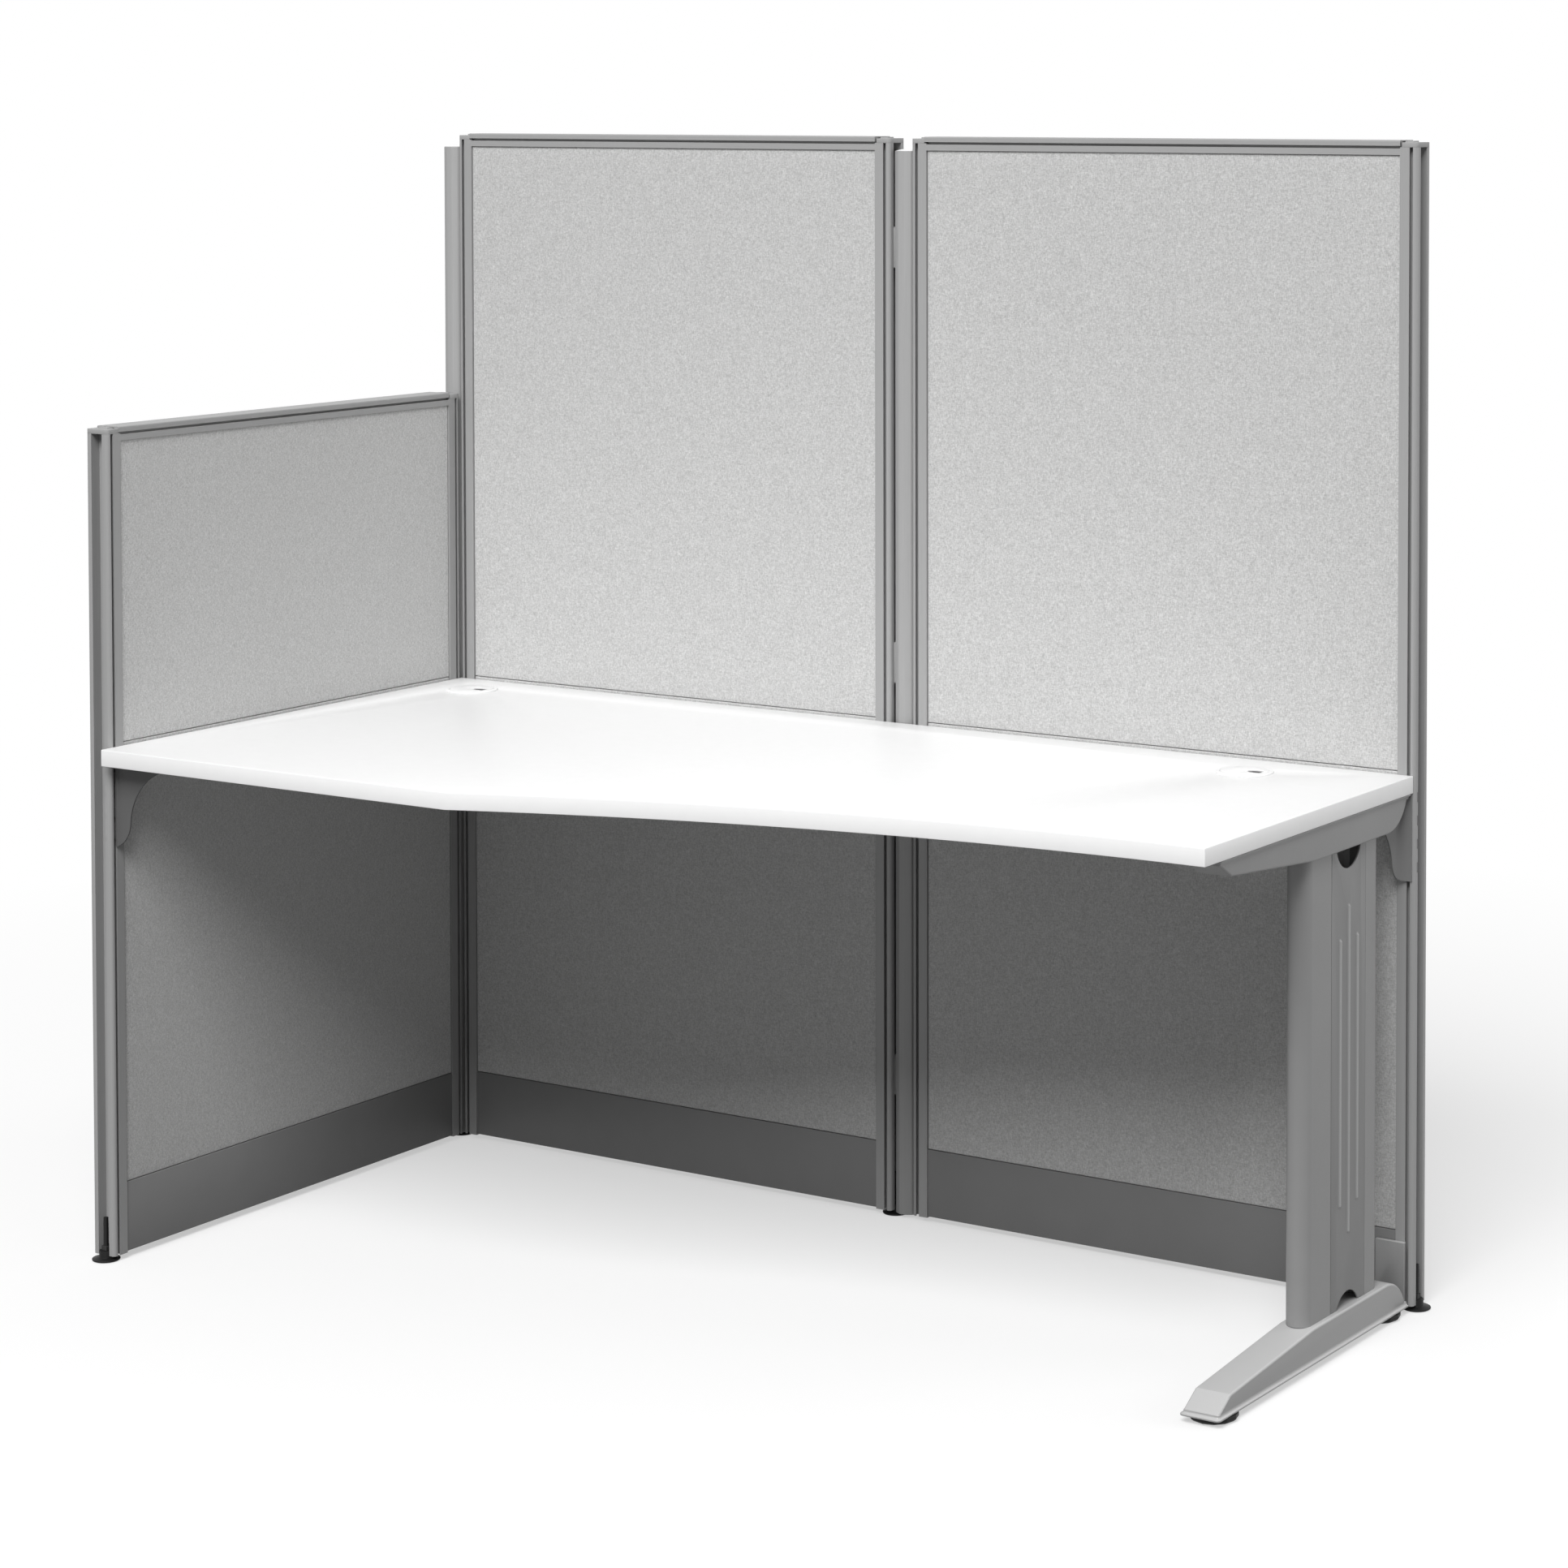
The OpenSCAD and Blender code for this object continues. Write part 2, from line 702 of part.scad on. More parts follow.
// A hook goes through the slot, along the chamber and through its window into the end channel.
module hook(z) {
    slot_in = slot_from_end + slot_w;
    arm_x = slot_in - hook_gap - hook_t;
    arm_back = slot_d - hook_gap;
    chamber_in = chamber_from_end + hook_gap;
    translate([arm_x, -over, z]) cube([hook_t, arm_back + over, hook_h]);
    translate([chamber_in, arm_back - hook_t, z]) cube([arm_x - chamber_in + over, hook_t, hook_h]);
    tip_y = slot_d + hook_gap;
    tip_end = channel_y0 + hook_past;
    translate([chamber_in, arm_back - hook_t, z]) cube([hook_t, tip_end - arm_back + hook_t, hook_h]);
    translate([hook_gap, tip_y, z]) cube([chamber_in + hook_t - hook_gap, tip_end - tip_y, hook_h]);
}

module grommet() {
    sleeve_r = hole_r - sleeve_gap;
    color(desk_white) difference() {
        union() {
            translate([0, 0, desk_under - sleeve_below]) cylinder(r = sleeve_r, h = desk_t + sleeve_below + over / 2);
            translate([0, 0, desk_z]) rotate_extrude()
                polygon([[0, 0], [flange_r, 0], [flange_r, flange_h - flange_edge],
                    [flange_r - flange_edge, flange_h], [0, flange_h]]);
        }
        translate([0, 0, desk_under - sleeve_below - over])
            cylinder(r = sleeve_bore_r, h = desk_t + sleeve_below + flange_h + 2 * over);
        translate([0, 0, desk_z + ledge_t]) cylinder(r = recess_r, h = flange_h + over);
    }
}

// Turning cap with a round-ended cable mouth on one side.
module grommet_cap() {
    disc_z = desk_z + ledge_t + rest_gap;
    disc_h = flange_h - ledge_t - rest_gap;
    skirt_r = sleeve_bore_r - skirt_gap;
    color(desk_white) difference() {
        union() {
            translate([0, 0, disc_z]) cylinder(r = recess_r - cap_gap, h = disc_h);
            difference() {
                translate([0, 0, disc_z - skirt_d]) cylinder(r = skirt_r, h = skirt_d + disc_h / 2);
                translate([0, 0, disc_z - skirt_d - over]) cylinder(r = skirt_r - skirt_t, h = skirt_d + over);
            }
        }
        translate([mouth_from + mouth_w / 2, 0, disc_z - over]) cylinder(r = mouth_w / 2, h = disc_h + 2 * over);
        translate([mouth_from + mouth_w / 2, -mouth_w / 2, disc_z - over])
            cube([skirt_r - skirt_t - mouth_from - mouth_w / 2, mouth_w, disc_h + 2 * over]);
    }
}

// Side profile of a casting above its base, in (Y, Z), drawn in by the given inset.
module beam_profile(inset) {
    fall_z = level_h - fall_r;
    steps = 10;
    r = fall_r - inset;
    start = 90;
    stop = asin((0 - fall_z) / fall_r);
    fall = [for (i = [0:steps]) let (a = start + (stop - start) * i / steps)
        [-fall_y + r * cos(a), fall_z + r * sin(a)]];
    polygon(concat(
        [[-beam_rear - inset, 0], [-beam_front + inset, 0], [-beam_front + inset, nose_h],
            [-ridge_y + inset / 2, ridge_h - inset], [-level_y, level_h - inset]],
        [for (p = fall) [min(p[0], -beam_rear - inset), max(p[1], 0)]]));
}

// Sculpted casting, base at Z 0: body with rounded long edges, fillet and base flange.
module casting() {
    union() {
        hull() {
            for (s = [0:2]) {
                lift = beam_edge * (1 - cos(45 * s));
                side = beam_edge * (1 - sin(45 * s));
                across_leg(beam_w - 2 * side) beam_profile(lift);
            }
        }
        translate([leg_x - base_w / 2, -base_front, 0]) linear_extrude(base_t) base_outline();
        base_fillets();
    }
}

module base_outline() {
    len = base_front - beam_rear;
    union() {
        translate([0, base_r]) square([base_w, len - base_r]);
        translate([base_r, 0]) square([base_w - 2 * base_r, base_r + over]);
        for (x = [base_r, base_w - base_r]) translate([x, base_r]) circle(base_r);
    }
}

// Hollow fillets between the base flange and the body, along both sides and across the nose.
module base_fillets() {
    f = base_fillet;
    translate([leg_x, -beam_rear - f, base_t]) rotate([90, 0, 0]) linear_extrude(beam_front - beam_rear - 2 * f)
        difference() {
            translate([-beam_w / 2 - f, -f / 2]) square([beam_w + 2 * f, f + f / 2]);
            for (side = [-1, 1]) translate([side * (beam_w / 2 + f), f]) circle(f);
        }
    across_leg(beam_w - 2 * f) difference() {
        translate([-beam_front - f, base_t - f / 2]) square([2 * f, f + f / 2]);
        translate([-beam_front - f, base_t + f]) circle(f);
    }
}

// Plan of a column: a tube with one full-round end, from Y 0 towards -Y.
module column_plan(length, wall) {
    w = column_w - 2 * wall;
    r = w / 2;
    union() {
        translate([-r, -length + wall + r]) square([w, length - 2 * wall - r]);
        translate([0, -length + wall + r]) circle(r);
    }
}

module column(length) {
    color(leg_grey) translate([leg_x, 0, column_z0]) linear_extrude(column_h) difference() {
        column_plan(length, 0);
        column_plan(length, column_t);
    }
}

// Half of a rib's section, as (across, rise), with its hollow flank.
module rib_half() {
    difference() {
        translate([0, -cover_t / 2]) square([rib_w / 2, rib_rise + cover_t / 2]);
        translate([rib_w / 2, rib_flank_r]) circle(rib_flank_r);
    }
}

// Rib along the outer cover: drawn lying down, its section turned round at both ends, then stood up.
module rib(y, z0, z1) {
    straight = z1 - z0 - rib_w;
    translate([leg_x + column_w / 2, -y, z0 + rib_w / 2]) rotate([0, 90, 0]) union() {
        for (x = [-straight, 0]) translate([x, 0, 0]) rotate_extrude() rib_half();
        translate([-straight, 0, 0]) rotate([90, 0, 90]) linear_extrude(straight) union() {
            rib_half();
            mirror([1, 0]) rib_half();
        }
    }
}

// Panels: side
module side_stile_a() { at_side() stile(low_h, hooked = true, footed = true); }
module side_stile_b() { at_side() far_end(side_len) stile(low_h); }
module side_top_rail() { at_side() top_rail(side_len, low_h); }
module side_core() { at_side() core(side_len, low_h, lug_a = true); }
module side_tile_fu() { at_side() tile_upper(side_len, low_h); }
module side_tile_fl() { at_side() tile_lower(side_len); }
module side_tile_bu() { at_side() back_face() tile_upper(side_len, low_h); }
module side_tile_bl() { at_side() back_face() tile_lower(side_len); }
module side_kick_f() { at_side() kick(side_len); }
module side_kick_b() { at_side() back_face() kick(side_len); }
module side_end_cap_a() { at_side() end_block(low_h, cap_from_a); }
module side_end_cap_b() { at_side() far_end(side_len) end_block(low_h, cap_from_b - block_gap); }

// Panels: left
module left_stile_a() { at_left() stile(tall_h, hooked = true); }
module left_stile_b() { at_left() far_end(tall_len) stile(tall_h, footed = true); }
module left_top_rail() { at_left() top_rail(tall_len, tall_h); }
module left_core() { at_left() core(tall_len, tall_h, lug_b = true); }
module left_tile_fu() { at_left() tile_upper(tall_len, tall_h); }
module left_tile_fl() { at_left() tile_lower(tall_len); }
module left_tile_bu() { at_left() back_face() tile_upper(tall_len, tall_h); }
module left_tile_bl() { at_left() back_face() tile_lower(tall_len); }
module left_kick_f() { at_left() kick(tall_len); }
module left_kick_b() { at_left() back_face() kick(tall_len); }
module left_end_cap_a() { at_left() end_block(tall_h, cap_from_a); }
module left_end_cap_b() { at_left() far_end(tall_len) end_block(tall_h, cap_from_b - block_gap); }

// Panels: right
module right_stile_a() { at_right() stile(tall_h); }
module right_stile_b() { at_right() far_end(tall_len) stile(tall_h, hooked = true, footed = true); }
module right_top_rail() { at_right() top_rail(tall_len, tall_h); }
module right_core() { at_right() core(tall_len, tall_h, lug_b = true); }
module right_tile_fu() { at_right() tile_upper(tall_len, tall_h); }
module right_tile_fl() { at_right() tile_lower(tall_len); }
module right_tile_bu() { at_right() back_face() tile_upper(tall_len, tall_h); }
module right_tile_bl() { at_right() back_face() tile_lower(tall_len); }
module right_kick_f() { at_right() kick(tall_len); }
module right_kick_b() { at_right() back_face() kick(tall_len); }
module right_end_cap_a() { at_right() end_block(tall_h, cap_from_a); }
module right_end_cap_b() { at_right() far_end(tall_len) end_block(tall_h, cap_from_b - block_gap); }

// Posts, plugs and feet
module at_corner() { place() translate([-panel_mid, panel_mid, 0]) children(); }
module at_mid() { place() translate([tall_len + post_w / 2, panel_mid, 0]) children(); }

module corner_post() {
    at_corner() union() {
        post([0, 270]);
        color(alloy) difference() {
            translate([0, 0, lug_z0]) cylinder(r = post_bore_r + over, h = lug_h);
            translate([0, 0, lug_z0 - over]) cylinder(r = stem_bore_r, h = lug_h + 2 * over);
        }
    }
}

module corner_post_plug() { at_corner() plug(); }
module mid_post() { at_mid() post([0, 180], keep_clear = true); }
module mid_post_plug() { at_mid() plug(); }
module foot_front() { at_side() translate([foot_from_end, panel_mid, 0]) foot(); }
module foot_corner() { at_corner() foot(); }
module foot_mid() { at_left() far_end(tall_len) translate([foot_from_end, panel_mid, 0]) foot(); }
module foot_right() { at_right() far_end(tall_len) translate([foot_from_end, panel_mid, 0]) foot(); }

// Worktop and what carries it
module desktop() {
    place() color(desk_white) difference() {
        translate([0, 0, desk_under]) linear_extrude(desk_t) desk_outline();
        for (p = [[grommet_left_x, grommet_left_y], [grommet_right_x, grommet_right_y]]) {
            translate([p[0], -p[1], desk_under - over]) cylinder(r = hole_r, h = desk_t + 2 * over);
        }
    }
}

module bracket_front_left() { at_side() bracket(narrow_flange); }
module bracket_rear_left() { at_left() bracket(narrow_flange); }

// The rear right bracket is cut to the rear end of the leg's top casting.
module bracket_rear_right() {
    difference() {
        at_right() far_end(tall_len) bracket(wide_flange, top_flange = false);
        place() across_leg(base_w) mirror_to_desk() union() {
            beam_profile(0);
            translate([-base_front, -over]) square([base_front - beam_rear, base_t + over]);
        }
    }
}

// Turns a side profile over, with its base at the worktop's underside.
module mirror_to_desk() {
    translate([0, desk_under]) mirror([0, 1]) children();
}

module grommet_left() { place() translate([grommet_left_x, -grommet_left_y, 0]) grommet(); }
module grommet_right() { place() translate([grommet_right_x, -grommet_right_y, 0]) grommet(); }
module grommet_cap_left() { place() translate([grommet_left_x, -grommet_left_y, 0]) grommet_cap(); }
module grommet_cap_right() { place() translate([grommet_right_x, -grommet_right_y, 0]) grommet_cap(); }

// Leg
module leg_foot_beam() {
    place() color(casting_grey) difference() {
        union() {
            translate([0, 0, leg_lift]) casting();
            across_leg(beam_w) heel_profile();
        }
        for (y = [glide_front_y, glide_rear_y]) {
            translate([leg_x, -y, leg_lift - over])
                cylinder(r = glide_stem_r + stem_gap, h = glide_stem_z + glide_room - leg_lift + over);
        }
    }
}

// Upright plate behind the lower casting. Its toe runs into the casting's base.
module heel_profile() {
    union() {
        translate([-beam_rear, leg_lift]) square([beam_rear, heel_z - leg_lift]);
        translate([-beam_rear - beam_edge, leg_lift]) square([beam_rear, base_t]);
    }
}

module leg_top_beam() {
    place() color(leg_grey) translate([0, 0, desk_under]) mirror([0, 0, 1]) casting();
}

module leg_front_column() { place() translate([0, -cover_front, 0]) column(column_front - cover_front); }
module leg_rear_column() {
    place() translate([0, -cover_rear, 0]) mirror([0, 1, 0]) column(cover_rear - column_rear);
}

module leg_inner_cover() {
    x0 = leg_x - column_w / 2;
    z0 = column_z0 + cover_end_gap;
    h = column_h - 2 * cover_end_gap;
    place() color(leg_grey) translate([x0, -cover_front, z0]) linear_extrude(h) difference() {
        square([inner_return, cover_front - cover_rear]);
        translate([cover_t, cover_t]) square([inner_return, cover_front - cover_rear - 2 * cover_t]);
    }
}

// Lift-off cover: a shallow channel with cable openings at both ends and three raised ribs.
module leg_outer_cover() {
    face = leg_x + column_w / 2;
    x0 = leg_x - column_w / 2 + inner_return + rest_gap;
    y0 = -cover_front + cover_groove;
    w = cover_front - cover_rear - cover_groove - cover_line;
    z0 = column_z0 + cover_end_gap;
    h = column_h - 2 * cover_end_gap;
    top_centre = z0 + h - arch_top + arch_r;
    low_centre = z0 + arch_bottom - arch_r;
    place() color(leg_grey) difference() {
        union() {
            translate([x0, y0, z0]) linear_extrude(h) difference() {
                square([face - x0, w]);
                translate([-over, cover_t]) square([face - x0 - cover_t + over, w - 2 * cover_t]);
            }
            rib(cover_mid, rib_mid_z0, rib_mid_z1);
            rib(cover_mid + rib_pitch, rib_side_z0, rib_side_z1);
            rib(cover_mid - rib_pitch, rib_side_z0, rib_side_z1);
        }
        for (z = [top_centre, low_centre]) {
            translate([face - cover_t - over, -cover_mid, z]) rotate([0, 90, 0])
                cylinder(r = arch_r, h = cover_t + rib_rise + 2 * over);
        }
    }
}

module glide_front() { place() translate([leg_x, -glide_front_y, 0]) glide(); }
module glide_rear() { place() translate([leg_x, -glide_rear_y, 0]) glide(); }

side_stile_a();
side_stile_b();
side_top_rail();
side_core();
side_tile_fu();
side_tile_fl();
side_tile_bu();
side_tile_bl();
side_kick_f();
side_kick_b();
side_end_cap_a();
side_end_cap_b();
left_stile_a();
left_stile_b();
left_top_rail();
left_core();
left_tile_fu();
left_tile_fl();
left_tile_bu();
left_tile_bl();
left_kick_f();
left_kick_b();
left_end_cap_a();
left_end_cap_b();
right_stile_a();
right_stile_b();
right_top_rail();
right_core();
right_tile_fu();
right_tile_fl();
right_tile_bu();
right_tile_bl();
right_kick_f();
right_kick_b();
right_end_cap_a();
right_end_cap_b();
corner_post();
corner_post_plug();
mid_post();
mid_post_plug();
foot_front();
foot_corner();
foot_mid();
foot_right();
desktop();
bracket_front_left();
bracket_rear_left();
bracket_rear_right();
grommet_left();
grommet_cap_left();
grommet_right();
grommet_cap_right();
leg_foot_beam();
leg_top_beam();
leg_front_column();
leg_rear_column();
leg_inner_cover();
leg_outer_cover();
glide_front();
glide_rear();
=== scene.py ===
import json
import math

import bmesh
import bpy
from mathutils import Matrix, Vector

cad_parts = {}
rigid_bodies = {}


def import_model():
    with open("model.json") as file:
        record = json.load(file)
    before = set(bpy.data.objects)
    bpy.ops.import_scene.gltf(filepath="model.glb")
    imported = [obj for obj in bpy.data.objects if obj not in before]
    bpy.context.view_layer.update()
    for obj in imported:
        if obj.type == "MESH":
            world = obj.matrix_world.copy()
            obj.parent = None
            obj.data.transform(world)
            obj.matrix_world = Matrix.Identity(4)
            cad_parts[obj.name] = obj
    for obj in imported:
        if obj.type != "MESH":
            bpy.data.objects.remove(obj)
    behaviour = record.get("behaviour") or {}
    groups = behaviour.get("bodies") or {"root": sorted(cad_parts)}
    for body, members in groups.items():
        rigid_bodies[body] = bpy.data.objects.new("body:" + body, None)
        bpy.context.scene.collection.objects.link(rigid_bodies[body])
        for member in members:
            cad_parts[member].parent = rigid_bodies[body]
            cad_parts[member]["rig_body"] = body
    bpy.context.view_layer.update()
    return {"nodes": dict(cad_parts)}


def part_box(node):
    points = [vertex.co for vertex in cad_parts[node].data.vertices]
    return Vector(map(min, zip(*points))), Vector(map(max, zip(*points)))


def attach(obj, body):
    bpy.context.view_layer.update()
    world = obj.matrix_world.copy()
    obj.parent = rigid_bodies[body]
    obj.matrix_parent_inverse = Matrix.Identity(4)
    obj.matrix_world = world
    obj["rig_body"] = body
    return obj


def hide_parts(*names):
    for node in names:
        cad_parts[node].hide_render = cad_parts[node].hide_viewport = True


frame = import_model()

nodes = frame["nodes"]
MM = 0.001
BODY = "workstation"
PANELS = ("side", "left", "right")


# Camera

# Width of the square picture, the lens's focal length and the point on its axis, in pixels.
PICTURE = 1932
FOCAL_PIXELS = 4725.8
AXIS_POINT = (1237.06, 303.48)
# Width of the sensor in millimetres.
SENSOR = 36.0
# Place and furthest view in metres, turn from +Y towards -X and dip below level in degrees.
CAMERA_PLACE = (3.09775, -4.31915, 1.665)
CAMERA_REACH = 60.0
CAMERA_TURN = 31.777
CAMERA_DIP = 2.302


def add_camera():
    """Camera at the picture's angle, shifted as the picture's frame needs."""
    data = bpy.data.cameras.new("camera")
    data.sensor_width = SENSOR
    data.lens = FOCAL_PIXELS / PICTURE * SENSOR
    data.shift_x = (PICTURE / 2 - AXIS_POINT[0]) / PICTURE
    data.shift_y = (AXIS_POINT[1] - PICTURE / 2) / PICTURE
    data.clip_end = CAMERA_REACH
    camera = bpy.data.objects.new("camera", data)
    camera.location = CAMERA_PLACE
    camera.rotation_euler = (math.radians(90 - CAMERA_DIP), 0.0, math.radians(CAMERA_TURN))
    bpy.context.scene.collection.objects.link(camera)
    bpy.context.scene.camera = camera


add_camera()


# Finishes

# Grain in spots to the metre. A grain that runs one way has a count along each axis.
YARN_ACROSS, YARN_ALONG = 900, 260
YARN_CLOUD = (90, 90, 60)
DRAW_FINE, DRAW_LONG = 2400, 9
PAINT_PEEL, PAINT_PATCH = 620, 14
COVER_GRAIN = 1100
PEBBLE, MOTTLE = 900, 60
BOARD_CHIPS = (160, 160, 320)
# Pitch of the threads in the cloth, and how far the yarn's own unevenness outweighs it.
THREAD_PITCH = 1.1 * MM
YARN_WEIGHT = 3.0
# Ribs of the leg's outer cover: their rise, and where above the foot and below the crest their painted highlight
# starts and is full.
RIB_RISE = 2.5 * MM
RIB_FOOT = 0.2 * MM
RIB_CREST = 0.3 * MM


def even(value):
    """The value three times: a neutral grey, or a grain that runs no way."""
    return (value, value, value)


class Finish:
    """A procedural finish: its shader first, then the nodes that shade it."""

    def __init__(self, name, colour, roughness, **sockets):
        self.material = bpy.data.materials.new(name)
        self.material.use_nodes = True
        self.tree = self.material.node_tree
        self.shader = self.tree.nodes["Principled BSDF"]
        self.colour = colour
        self.shader.inputs["Base Color"].default_value = (*colour, 1.0)
        self.shader.inputs["Roughness"].default_value = roughness
        for socket, value in sockets.items():
            self.shader.inputs[socket.replace("_", " ")].default_value = value
        coordinates = self.node("ShaderNodeTexCoord").outputs
        self.place, self.normal = coordinates["Object"], coordinates["Normal"]

    def node(self, kind, **settings):
        """A new node of the kind, with its settings."""
        made = self.tree.nodes.new(kind)
        for key, value in settings.items():
            setattr(made, key, value)
        return made

    def link(self, source, target):
        """Joins an output to an input."""
        self.tree.links.new(source, target)

    def grain(self, spots, detail=2.0, roughness=0.5):
        """Noise with so many spots to the metre along each axis."""
        turn = self.node("ShaderNodeMapping")
        turn.inputs["Scale"].default_value = spots
        self.link(self.place, turn.inputs["Vector"])
        noise = self.node("ShaderNodeTexNoise")
        noise.inputs["Scale"].default_value = 1.0
        noise.inputs["Detail"].default_value = detail
        noise.inputs["Roughness"].default_value = roughness
        self.link(turn.outputs["Vector"], noise.inputs["Vector"])
        return noise.outputs["Fac"]

    def spread(self, source, low, high, start=0.3, stop=0.7):
        """Source from start to stop becomes low to high."""
        range_node = self.node("ShaderNodeMapRange")
        range_node.inputs["From Min"].default_value = start
        range_node.inputs["From Max"].default_value = stop
        range_node.inputs["To Min"].default_value = low
        range_node.inputs["To Max"].default_value = high
        self.link(source, range_node.inputs["Value"])
        return range_node.outputs["Result"]

    def math(self, operation, first, second=0.0):
        """The result of an operation on two numbers or outputs."""
        made = self.node("ShaderNodeMath", operation=operation)
        for value, socket in ((first, made.inputs[0]), (second, made.inputs[1])):
            if isinstance(value, float):
                socket.default_value = value
            else:
                self.link(value, socket)
        return made.outputs["Value"]

    def axes(self, vector):
        """The X, Y and Z of a vector."""
        parts = self.node("ShaderNodeSeparateXYZ")
        self.link(vector, parts.inputs["Vector"])
        return parts.outputs

    def shade_colour(self, factor):
        """The colour times a factor that varies over the surface."""
        tint = self.node("ShaderNodeVectorMath", operation="SCALE")
        tint.inputs[0].default_value = self.colour
        self.link(factor, tint.inputs["Scale"])
        self.link(tint.outputs["Vector"], self.shader.inputs["Base Color"])

    def shade_roughness(self, value):
        """A roughness that varies over the surface."""
        self.link(value, self.shader.inputs["Roughness"])

    def raise_surface(self, height, depth, strength):
        """Fine relief of a depth in metres, by bump."""
        bump = self.node("ShaderNodeBump")
        bump.inputs["Strength"].default_value = strength
        bump.inputs["Distance"].default_value = depth
        self.link(height, bump.inputs["Height"])
        self.link(bump.outputs["Normal"], self.shader.inputs["Normal"])


def woven_cloth():
    """Heathered plain weave: upright and level yarns of uneven shade."""
    cloth = Finish("tile_fabric", (0.515, 0.515, 0.512), 0.92, Sheen_Weight=0.25, Sheen_Roughness=0.5)
    upright = cloth.grain((YARN_ACROSS, YARN_ACROSS, YARN_ALONG), roughness=0.6)
    level = cloth.grain((YARN_ALONG, YARN_ALONG, YARN_ACROSS), roughness=0.6)
    cloud = cloth.grain(YARN_CLOUD)
    yarn = cloth.math("ADD", cloth.spread(upright, 0.28, 0.74, start=0.25, stop=0.75),
                      cloth.spread(level, 0.30, 0.68, start=0.25, stop=0.75))
    cloth.shade_colour(cloth.math("MULTIPLY", yarn, cloth.spread(cloud, 0.98, 1.02)))
    place = cloth.axes(cloth.place)
    along = cloth.math("ADD", place["X"], place["Y"])
    turns = 2 * math.pi / THREAD_PITCH
    warp = cloth.math("SINE", cloth.math("MULTIPLY", along, turns))
    weft = cloth.math("SINE", cloth.math("MULTIPLY", place["Z"], turns))
    weave = cloth.math("MULTIPLY", warp, weft)
    rough_yarn = cloth.math("ADD", weave, cloth.math("MULTIPLY", upright, YARN_WEIGHT))
    cloth.raise_surface(rough_yarn, depth=0.12 * MM, strength=0.7)
    return cloth.material


def drawn_alloy(name, spots):
    """Satin aluminium with fine draw lines along the extrusion."""
    alloy = Finish(name, even(0.345), 0.42, Metallic=0.05, Specular_IOR_Level=0.12)
    lines = alloy.grain(spots, detail=3.0)
    alloy.shade_colour(alloy.spread(lines, 0.96, 1.04))
    alloy.shade_roughness(alloy.spread(lines, 0.34, 0.46))
    alloy.raise_surface(lines, depth=0.03 * MM, strength=0.5)
    return alloy.material


def powder_coat(name, grey, roughness, metallic=0.0, peel=0.06 * MM, gloss=0.5):
    """Sprayed finish with a fine orange peel."""
    coat = Finish(name, even(grey), roughness, Metallic=metallic, Specular_IOR_Level=gloss)
    spots = coat.grain(even(PAINT_PEEL))
    patches = coat.grain(even(PAINT_PATCH))
    coat.shade_colour(coat.spread(patches, 0.975, 1.025))
    coat.shade_roughness(coat.spread(spots, roughness - 0.05, roughness + 0.06))
    coat.raise_surface(spots, depth=peel, strength=0.6)
    return coat.material


def moulded_plastic(name, grey, roughness, grain_size, gloss=0.5):
    """Injection-moulded plastic with an eroded texture."""
    plastic = Finish(name, even(grey), roughness, Specular_IOR_Level=gloss)
    spots = plastic.grain(even(1 / grain_size), detail=3.0, roughness=0.6)
    plastic.shade_colour(plastic.spread(spots, 0.97, 1.03))
    plastic.shade_roughness(plastic.spread(spots, roughness - 0.06, roughness + 0.06))
    plastic.raise_surface(spots, depth=0.06 * MM, strength=0.6)
    return plastic.material


def ribbed_cover_with_painted_highlight():
    """Moulded cover with a painted highlight: paler where the ribs stand out of its face, standing in for light
    that catches them.
    """
    cover = Finish("cover_plastic", even(0.226), 0.5, Specular_IOR_Level=0.35)
    spots = cover.grain(even(COVER_GRAIN), detail=3.0, roughness=0.6)
    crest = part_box("leg_outer_cover")[1].x
    # Painted highlight: the colour grows up to 1.65 times paler towards the ribs' crests.
    pale = cover.spread(cover.axes(cover.place)["X"], 1.0, 1.65,
                        start=crest - RIB_RISE + RIB_FOOT, stop=crest - RIB_CREST)
    cover.shade_colour(cover.math("MULTIPLY", cover.spread(spots, 0.97, 1.03), pale))
    cover.shade_roughness(cover.spread(spots, 0.44, 0.56))
    cover.raise_surface(spots, depth=0.06 * MM, strength=0.6)
    return cover.material


def silver_paint_with_painted_top_light():
    """Glossy silver paint of the foot casting, with painted top light: paler where a face looks up and darker on
    its sides.
    """
    silver = Finish("leg_casting", even(0.47), 0.42, Coat_Weight=0.4, Coat_Roughness=0.14)
    spots = silver.grain(even(PAINT_PEEL))
    # Painted top light: the colour is half as bright on upright faces and 1.1 times as bright on faces that look
    # up.
    painted_top_light = silver.spread(silver.axes(silver.normal)["Z"], 0.5, 1.1, start=0.0, stop=0.9)
    silver.shade_colour(silver.math("MULTIPLY", silver.spread(spots, 0.985, 1.015), painted_top_light))
    silver.shade_roughness(silver.spread(spots, 0.37, 0.48))
    silver.raise_surface(spots, depth=0.08 * MM, strength=0.4)
    return silver.material


def white_laminate():
    """Pressed laminate: faint mottle and a fine pebble in the gloss."""
    laminate = Finish("desk_laminate", even(0.88), 0.36)
    pebble = laminate.grain(even(PEBBLE))
    mottle = laminate.grain(even(MOTTLE), detail=3.0)
    laminate.shade_colour(laminate.spread(mottle, 0.993, 1.007))
    laminate.shade_roughness(laminate.spread(pebble, 0.30, 0.44))
    laminate.raise_surface(pebble, depth=0.02 * MM, strength=0.5)
    return laminate.material


def pressed_board():
    """Black board of the panels' cores."""
    board = Finish("core_board", even(0.02), 0.85)
    chips = board.grain(BOARD_CHIPS, detail=4.0, roughness=0.7)
    board.shade_colour(board.spread(chips, 0.6, 1.5))
    board.raise_surface(chips, depth=0.2 * MM, strength=0.5)
    return board.material


